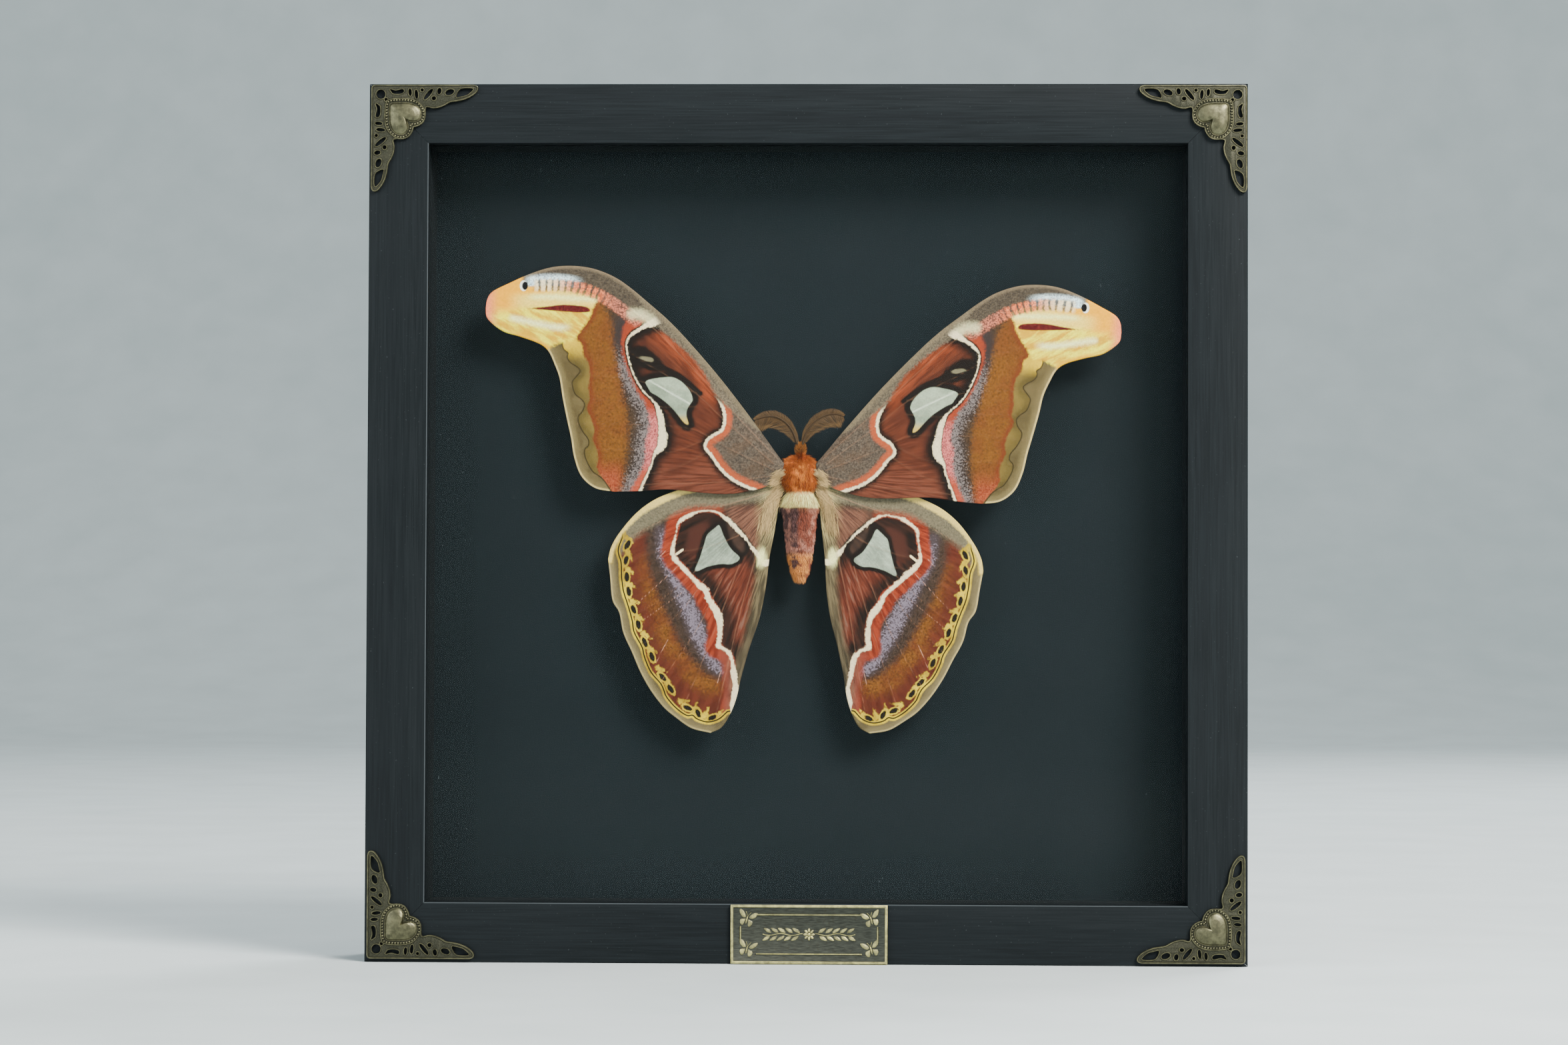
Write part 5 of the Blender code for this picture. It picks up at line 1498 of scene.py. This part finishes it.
surfaces = {kind: spread(kind, "left") for kind in WINGS}
for kind in WINGS:
    spread(kind, "right")
print("wings spread to", round(2 * -FORE_COSTA[-1][0]), "mm")

# %% [markdown]
# ## Fur as strands
# The moth's body is covered in long scales that look like fur. Each hair is a three-sided cone with one
# joint, made once and then repeated thousands of times with its own root, direction, length and bend. All
# the hairs of a part are one mesh, worked out as arrays. Every hair carries a random tone and its share of
# length, which the finish uses.

# %% Strands
def strand_shape(joints=1):
    """One strand of unit length and radius along Z, as vertices and triangles."""
    strand = bmesh.new()
    bmesh.ops.create_cone(strand, cap_ends=True, segments=3, radius1=1, radius2=0.0, depth=1,
                          matrix=Matrix.Translation((0, 0, 0.5)))
    bmesh.ops.remove_doubles(strand, verts=strand.verts, dist=0.0001)
    sides = [e for e in strand.edges if abs(e.verts[0].co.z - e.verts[1].co.z) > 0.5]
    bmesh.ops.subdivide_edges(strand, edges=sides, cuts=joints)
    for vertex in strand.verts:
        if 0.01 < vertex.co.z < 0.99:
            vertex.co.x *= 1.5
            vertex.co.y *= 1.5
    bmesh.ops.triangulate(strand, faces=strand.faces)
    bmesh.ops.recalc_face_normals(strand, faces=strand.faces)
    places = np.array([v.co for v in strand.verts])
    faces = np.array([[v.index for v in face.verts] for face in strand.faces])
    strand.free()
    return places, faces


STRAND = strand_shape()


def unit(vectors):
    return vectors / np.maximum(np.linalg.norm(vectors, axis=1)[:, None], 1e-9)


def strands(roots, ahead, lengths, widths, bends, seed, shape=STRAND, flatness=1.0):
    """Many strands in millimetres: vertices, triangles, and each vertex's tone and share of length."""
    places, faces = shape
    count = len(roots)
    ahead = unit(ahead)
    beside = unit(np.cross(ahead, (0.25, 0.9, 0.35)))
    above = np.cross(ahead, beside)
    share = places[:, 2]
    along = (lengths[:, None] * share)[:, :, None] * ahead[:, None, :]
    across = (widths[:, None] * places[:, 0])[:, :, None] * beside[:, None, :]
    raised = (widths[:, None] * places[:, 1] * flatness)[:, :, None] * above[:, None, :]
    bent = (lengths[:, None] * share ** 2)[:, :, None] * bends[:, None, :]
    vertices = (roots[:, None, :] + along + across + raised + bent).reshape(-1, 3)
    triangles = (faces[None] + (np.arange(count) * len(places))[:, None, None]).reshape(-1, 3)
    tone = np.repeat(np.random.default_rng(seed).random(count), len(places))
    return vertices, triangles, tone, np.tile(share, count)


def strand_data(name, batches):
    """Mesh data of several batches of strands. Their millimetres are across, behind the front, and up."""
    shift = np.cumsum([0] + [len(batch[0]) for batch in batches[:-1]])
    vertices = np.vstack([batch[0] for batch in batches])
    triangles = np.vstack([batch[1] + start for batch, start in zip(batches, shift)])
    placed = on_frame(vertices[:, [0, 2]], vertices[:, 1])
    data = bpy.data.meshes.new(name)
    data.from_pydata(placed, [], triangles)
    for label, index in (("tone", 2), ("share", 3)):
        values = np.concatenate([batch[index] for batch in batches]).astype(np.float32)
        data.attributes.new(label, "FLOAT", "POINT").data.foreach_set("value", values)
    data.update()
    return data


# Hairs grow where the way out of the body runs away from the viewer by less than this
BACK_OF_BODY = 0.45


def ellipsoid_roots(centre, radii, count, seed):
    """Random places on an ellipsoid, but not on its back, and the ways out of it there."""
    chance = np.random.default_rng(seed)
    out = unit(chance.normal(size=(count * 3, 3)))
    out = out[out[:, 1] < BACK_OF_BODY][:count]
    return np.array(centre) + out * radii, unit(out / radii)


print("one strand has", len(STRAND[1]), "triangles")

# %% [markdown]
# ## Body
# Under the fur the thorax is an egg, and the abdomen a tapered body drawn in at each segment. Both are made
# from operators and left slightly smaller than the fur over them. The head is a small ball with a dark eye
# on each side.

# %% Body forms
THORAX_AT = (0.0, 15.9, 0.0)
THORAX_RADII = (6.0, 4.9, 6.8)
HEAD_AT = (0.3, 14.6, 9.2)
HEAD_RADII = (1.45, 1.8, 2.0)
ABDOMEN_AT = (0.1, 16.1)
ABDOMEN_TOP = -5.2
ABDOMEN_LONG = 31.3
ABDOMEN_RADII = [(4.7, 0), (5.8, 3.4), (5.7, 6.4), (5.1, 13.7), (4.4, 19.7), (3.6, 24.7), (2.6, 28.7),
                 (1.3, 31)]
SEGMENTS = 8
THORAX_HAIRS = 13000
ABDOMEN_HAIRS = 11000
HEAD_HAIRS = 1300


def egg(centre, radii, columns=32, rows=20):
    made = bmesh.new()
    bmesh.ops.create_uvsphere(made, u_segments=columns, v_segments=rows, radius=1)
    bmesh.ops.scale(made, vec=[r * MM for r in radii], verts=made.verts)
    x, deep, z = centre
    bmesh.ops.translate(made, verts=made.verts, vec=((MOTH_X + x) * MM, FRONT + deep * MM, (MOTH_Z + z) * MM))
    return made


def abdomen_radius(down):
    """Radius at a distance down the abdomen, with a waist between its segments."""
    line = curve_through(ABDOMEN_RADII)
    radius = np.interp(down, line[:, 1], line[:, 0])
    return radius - 0.32 * np.exp(-(((down / ABDOMEN_LONG * SEGMENTS) % 1 - 0.5) / 0.14) ** 2)


def abdomen_form():
    turned = bmesh.new()
    downs = np.linspace(0, ABDOMEN_LONG, 64)
    profile = [(0, 0)] + [(float(abdomen_radius(d)), -float(d)) for d in downs] + [(0, -ABDOMEN_LONG - 0.2)]
    ring = [turned.verts.new((radius * MM, 0, z * MM)) for radius, z in profile]
    edges = [turned.edges.new(pair) for pair in zip(ring, ring[1:])]
    bmesh.ops.spin(turned, geom=ring + edges, cent=(0, 0, 0), axis=(0, 0, 1), angle=math.tau, steps=32,
                   use_merge=True, use_duplicate=False)
    bmesh.ops.remove_doubles(turned, verts=turned.verts, dist=0.005 * MM)
    bmesh.ops.scale(turned, vec=(1, 0.86, 1), verts=turned.verts)
    x, deep = ABDOMEN_AT
    bmesh.ops.translate(turned, verts=turned.verts,
                        vec=((MOTH_X + x) * MM, FRONT + deep * MM, (MOTH_Z + ABDOMEN_TOP) * MM))
    return turned


# %% Finishes for the body
def fur_finish(name, roughness=0.75):
    """A finish that knows each hair's tone and its share of length."""
    fur = Finish(name, roughness, shine=0.1)
    fur.tone = fur.own("tone")
    fur.share = fur.own("share")
    fur.cross = fur.sum("MULTIPLY_ADD", fur.part(fur.place, "X"), 1 / MM, -MOTH_X)
    fur.rise = fur.sum("MULTIPLY_ADD", fur.part(fur.place, "Z"), 1 / MM, -MOTH_Z)
    return fur


def thorax_finish():
    fur = fur_finish("thorax_fur")
    patch = fur.noise(2.4, 3, 0.5)
    red = fur.mix(fur.tone, rgb(134, 46, 26), rgb(204, 96, 56))
    middle = fur.step(fur.sum("ABSOLUTE", fur.cross), 3.6, 0.8)
    lit = fur.mix(fur.both(middle, fur.step(patch, 0.38, 0.6), fur.step(fur.rise, 6.0, 3.0)), red,
                  fur.mix(fur.tone, rgb(206, 126, 70), rgb(238, 192, 138)))
    lit = fur.mix(fur.both(fur.step(patch, 0.56, 0.68), 0.6), lit, rgb(230, 174, 122))
    lit = fur.mix(fur.step(fur.rise, 7.4, 8.6), lit, fur.mix(fur.tone, rgb(110, 66, 36), rgb(188, 128, 74)))
    lit = fur.mix(fur.both(fur.step(fur.rise, -4.6, -6.0),
                           fur.step(fur.sum("ABSOLUTE", fur.cross), 4.2, 5.0)), lit,
                  rgb(150, 140, 92))
    fur.colour(fur.mix(fur.both(fur.share, 0.45), lit, fur.mix(fur.tone, lit, rgb(250, 200, 150))))
    return fur.material


def abdomen_finish():
    fur = fur_finish("abdomen_fur")
    patch = fur.noise(2.6, 3, 0.5)
    red = fur.mix(fur.tone, rgb(122, 64, 48), rgb(190, 114, 86))
    shade = fur.mix(fur.both(fur.step(fur.rise, -14, -11), 0.7), red,
                    fur.mix(fur.tone, rgb(136, 92, 64), rgb(196, 146, 108)))
    shade = fur.mix(fur.both(fur.step(fur.sum("ADD", fur.cross, fur.both(patch, 5)), 2.8, 1.2), 0.8), shade,
                    fur.mix(fur.tone, rgb(72, 50, 52), rgb(132, 106, 106)))
    side = fur.step(fur.sum("ABSOLUTE", fur.cross), 2.4, 4.0)
    pale = fur.mix(fur.tone, rgb(172, 130, 114), rgb(218, 188, 172))
    shade = fur.mix(fur.both(side, fur.step(patch, 0.44, 0.66), 0.8), shade, pale)
    shade = fur.mix(fur.both(fur.step(fur.rise, -18, -25), fur.step(patch, 0.4, 0.64), 0.75), shade, pale)
    tip = fur.mix(fur.tone, rgb(186, 112, 64), rgb(230, 196, 140))
    shade = fur.mix(fur.both(fur.step(fur.rise, -26, -29), fur.step(patch, 0.36, 0.54)), shade, tip)
    collar = fur.mix(fur.tone, rgb(204, 186, 142), rgb(248, 236, 202))
    shade = fur.mix(fur.step(fur.sum("ADD", fur.rise, fur.both(patch, 1.6)), -10.8, -10.0), shade, collar)
    fur.colour(shade)
    return fur.material


thorax_fur = thorax_finish()
abdomen_fur = abdomen_finish()
chitin = Finish("eye_chitin", roughness=0.25)
chitin.colour(chitin.mix(chitin.noise(0.5, 2), rgb(22, 14, 12), rgb(60, 34, 22)))

# %% The thorax and the abdomen with their fur
HAIR_DOWN = np.array((0.0, 0.0, -1.0))


def lying(out, fall, lift, jitter, seed):
    """Directions of hairs that lie along the body: down its surface, a little lifted, a little astray."""
    chance = np.random.default_rng(seed)
    along = HAIR_DOWN - (out @ HAIR_DOWN)[:, None] * out
    return unit(fall * unit(along) + lift * out + jitter * chance.normal(size=out.shape))


def thorax_piece():
    data = as_data("thorax_furred", egg(THORAX_AT, THORAX_RADII))
    roots, out = ellipsoid_roots(THORAX_AT, THORAX_RADII, THORAX_HAIRS, 11)
    chance = np.random.default_rng(12)
    count = len(roots)
    ahead = lying(out, 0.9, 0.55, 0.32, 13)
    hair = strands(roots, ahead, chance.uniform(1.3, 2.6, count), chance.uniform(0.05, 0.1, count),
                   0.25 * lying(out, 1.0, -0.5, 0.4, 14), 15)
    return data, strand_data("hair", [hair])


def joined(name, *parts):
    """One mesh of several, with their attributes."""
    holders = []
    for part in parts:
        holder = bpy.data.objects.new("part", part)
        bpy.context.scene.collection.objects.link(holder)
        holders.append(holder)
    with bpy.context.temp_override(active_object=holders[0], selected_editable_objects=holders,
                                   selected_objects=holders):
        bpy.ops.object.join()
    data = holders[0].data
    data.name = name
    bpy.data.objects.remove(holders[0])
    return data


place_piece("thorax_furred", joined("thorax_furred", *thorax_piece()), thorax_fur, ["thorax"],
            sharp=60)


def abdomen_piece():
    data = as_data("abdomen_furred", abdomen_form())
    chance = np.random.default_rng(21)
    count = ABDOMEN_HAIRS
    down = chance.uniform(1.0, ABDOMEN_LONG, count)
    angle = chance.uniform(-0.15 * math.pi, 1.15 * math.pi, count)
    radius = abdomen_radius(down)
    out = np.column_stack([np.cos(angle), -np.sin(angle), np.zeros(count)])
    x, deep = ABDOMEN_AT
    roots = np.column_stack([x + radius * out[:, 0], deep + 0.86 * radius * out[:, 1], ABDOMEN_TOP - down])
    collar = down < 6.2
    lengths = np.where(collar, chance.uniform(1.6, 3.0, count), chance.uniform(0.7, 1.7, count))
    lift = np.where(collar, 0.7, 0.4)[:, None]
    ahead = unit(HAIR_DOWN + lift * out + 0.25 * chance.normal(size=out.shape))
    hair = strands(roots, ahead, lengths, chance.uniform(0.05, 0.095, count), 0.15 * (HAIR_DOWN - out), 22)
    return data, strand_data("hair", [hair])


place_piece("abdomen_furred", joined("abdomen_furred", *abdomen_piece()), abdomen_fur, ["abdomen"],
            sharp=60)
print(THORAX_HAIRS + ABDOMEN_HAIRS, "hairs on the thorax and the abdomen")

# %% The head
def head_piece():
    parts = [as_data("head_furred", egg(HEAD_AT, HEAD_RADII, 20, 12))]
    roots, out = ellipsoid_roots(HEAD_AT, HEAD_RADII, HEAD_HAIRS, 31)
    chance = np.random.default_rng(32)
    count = len(roots)
    ahead = unit(out + np.array((0, 0, 0.9)) + 0.35 * chance.normal(size=out.shape))
    parts.append(strand_data("hair", [strands(roots, ahead, chance.uniform(0.5, 1.1, count),
                                              chance.uniform(0.05, 0.09, count), 0.2 * out, 33)]))
    return joined("head_furred", *parts)


place_piece("head_furred", head_piece(), thorax_fur, ["head"], sharp=60)
eyes = gather(*[egg((HEAD_AT[0] + sign * 1.3, HEAD_AT[1] + 0.3, HEAD_AT[2] + 0.3), (0.8, 0.9, 0.95), 16, 10)
                for sign in (-1, 1)])
place_piece("eyes", as_data("eyes", eyes), chitin.material, ["head"], sharp=60)

# %% [markdown]
# ## Tufts where the wings join
# Pale silky hairs spread from the sides of the thorax over the roots of the wings and down the first part of
# each hindwing's inner margin. They lie on the wing, so their roots take the depth of its nearest vertex.

# %% Wing tufts
def depth_at(kind, places):
    """The depth of a wing at some flat places."""
    flat, depth = surfaces[kind]
    nearest = [int(np.argmin(np.sum((flat - place) ** 2, axis=1))) for place in places]
    return depth[nearest]


def tuft(kind, line, spread_by, ahead_line, count, lengths, seed):
    """Hairs scattered about a line on a wing, all pointing about the same way."""
    chance = np.random.default_rng(seed)
    edge_line = Edge(line)
    flat = edge_line.at(chance.random(count)) + chance.normal(size=(count, 2)) * spread_by
    depth = depth_at(kind, flat) - 0.2 - chance.random(count) * 0.5
    way = np.array(ahead_line, float)
    ahead = np.column_stack([np.full(count, way[0]), np.full(count, -0.08), np.full(count, way[1])])
    ahead = unit(ahead + 0.09 * chance.normal(size=(count, 3)) * (1, 0.5, 1))
    roots = np.column_stack([flat[:, 0], depth, flat[:, 1]])
    bends = 0.06 * chance.normal(size=(count, 3)) * (1, 0.3, 1) + (0, 0.1, 0)
    return strands(roots, ahead, chance.uniform(*lengths, count), chance.uniform(0.04, 0.075, count), bends,
                   seed + 1)


def tufts_finish():
    fur = fur_finish("tuft_fur")
    pale = fur.mix(fur.tone, rgb(140, 126, 94), rgb(216, 204, 172))
    fur.colour(fur.mix(fur.both(fur.share, 0.4), pale, rgb(222, 210, 182)))
    return fur.material


TUFTS = {
    "forewing": [
        ([(-6.0, 1.5), (-7.6, -0.6), (-8.4, -2.4)], 0.7, (-0.8, -0.45), 600, (1.2, 2.6)),
    ],
    "hindwing": [
        ([(-6.6, -3.4), (-7.4, -6.0), (-8.6, -9.0)], 0.8, (-0.75, -0.65), 1100, (1.8, 3.8)),
        ([(-9.2, -8.0), (-10.8, -13.0), (-12.2, -18.0)], 1.0, (-0.2, -1.0), 1100, (1.6, 3.4)),
    ],
}


def mirrored(batch, pivot):
    """The same strands on the right wing, with their faces turned back outwards."""
    vertices, triangles, tone, share = batch
    moved = vertices.copy()
    moved[:, [0, 2]] = to_side("right", pivot, vertices[:, [0, 2]])
    return moved, triangles[:, ::-1], tone, share


tuft_fur = tufts_finish()
for kind, lines in TUFTS.items():
    batches = [tuft(kind, *line, seed=50 + 10 * index) for index, line in enumerate(lines)]
    for side in ("left", "right"):
        sided = batches if side == "left" else [mirrored(batch, WINGS[kind]["pivot"]) for batch in batches]
        name = f"{kind}_{side}_tuft"
        place_piece(name, strand_data(name, sided), tuft_fur, [f"{kind}_{side}"], sharp=60)
print("tufts on four wings")

# %% [markdown]
# ## Feathered antennae
# Each antenna is a curved stalk with a comb of fine barbs on both sides, short ones above and long ones
# below. The barbs are flat strands set so close that they read as a golden-brown blade with a fringed edge.

# %% Antennae
ANTENNA_DEPTH = 13.4
STALK_RADIUS = 0.42
BARB_WIDE = 0.105
CILIUM_LONG = 0.42
CILIUM_WIDE = 0.03
# A side of the stalk, the length of its shortest barbs and how much longer its longest ones are
BARB_REACH = ((1, 0.35, 1.9), (-1, 0.35, 5.9))
BARBS = 96
ANTENNA_STALK = {
    "left": [(-0.7, 11.0), (-2.2, 14.9), (-4.6, 18.3), (-8.2, 20.5), (-12.0, 20.6), (-15.8, 19.4)],
    "right": [(1.0, 11.0), (2.4, 15.2), (5.2, 18.8), (8.8, 21.0), (12.4, 21.6), (15.3, 20.8)],
}


def antenna_finish():
    comb = fur_finish("antenna_barbs", 0.6)
    barb = comb.mix(comb.tone, rgb(78, 54, 30), rgb(124, 92, 52))
    comb.colour(comb.mix(comb.step(comb.share, 0.45, 1.0), barb, rgb(186, 156, 104)))
    return comb.material


def antenna(side):
    line = Edge(ANTENNA_STALK[side])
    sign = -1 if side == "left" else 1
    share = np.linspace(0.04, 0.99, BARBS)
    at = line.at(share)
    ahead = unit(line.at(np.minimum(share + 0.02, 1)) - line.at(np.maximum(share - 0.02, 0)))
    out = np.column_stack([-ahead[:, 1], ahead[:, 0]]) * sign
    swell = np.sin(math.pi * share ** 1.35) ** 0.55
    chance = np.random.default_rng(70)
    batches = []
    for direction, base, reach in BARB_REACH:
        way = unit(direction * out + 0.42 * ahead)
        ahead_3d = np.column_stack([way[:, 0], np.full(BARBS, -0.12), way[:, 1]])
        ahead_3d += 0.05 * chance.normal(size=ahead_3d.shape)
        roots = np.column_stack([at[:, 0], np.full(BARBS, ANTENNA_DEPTH), at[:, 1]])
        bends = np.column_stack([0.16 * ahead[:, 0], np.full(BARBS, 0.1), 0.16 * ahead[:, 1]])
        lengths = base + reach * swell * chance.uniform(0.92, 1.04, BARBS)
        batches.append(strands(roots, ahead_3d, lengths, np.full(BARBS, BARB_WIDE), bends, 71,
                               LONG_STRAND, 0.5))
        # Cilia along each barb close the gaps between them
        for step in np.linspace(0.15, 0.9, 9):
            start = roots + ahead_3d * (lengths * step)[:, None] + bends * (lengths * step ** 2)[:, None]
            tilt = np.column_stack([ahead[:, 0], np.full(BARBS, -0.05), ahead[:, 1]])
            for turn in (-1, 1):
                cilium = unit(turn * tilt + 0.6 * ahead_3d)
                batches.append(strands(start, cilium, np.full(BARBS, CILIUM_LONG),
                                       np.full(BARBS, CILIUM_WIDE), np.zeros((BARBS, 3)), 72))
    stalk_share = np.linspace(0, 1, 26)
    stalk = new_curve([[(float(x), float(z)) for x, z in line.at(stalk_share)]], cyclic=False)
    stalk.dimensions = "3D"
    stalk.bevel_depth = STALK_RADIUS * MM
    stalk.bevel_resolution = 2
    stalk.use_fill_caps = True
    for point, position in zip(stalk.splines[0].points, stalk_share):
        point.radius = 1.1 - 0.75 * position
    rod = from_curve(stalk)
    bmesh.ops.translate(rod, verts=rod.verts,
                        vec=(MOTH_X * MM, FRONT + (ANTENNA_DEPTH - 0.1) * MM, MOTH_Z * MM))
    name = f"antenna_{side}_feathered"
    data = joined(name, as_data("stalk", rod), strand_data("barbs", batches))
    return place_piece(name, data, antenna_comb, [f"antenna_{side}"], sharp=60)


LONG_STRAND = strand_shape(3)
antenna_comb = antenna_finish()
for side in ("left", "right"):
    feathered = antenna(side)
    print(feathered.name, len(feathered.data.polygons), "faces")

# %% Finish
print("scene built")
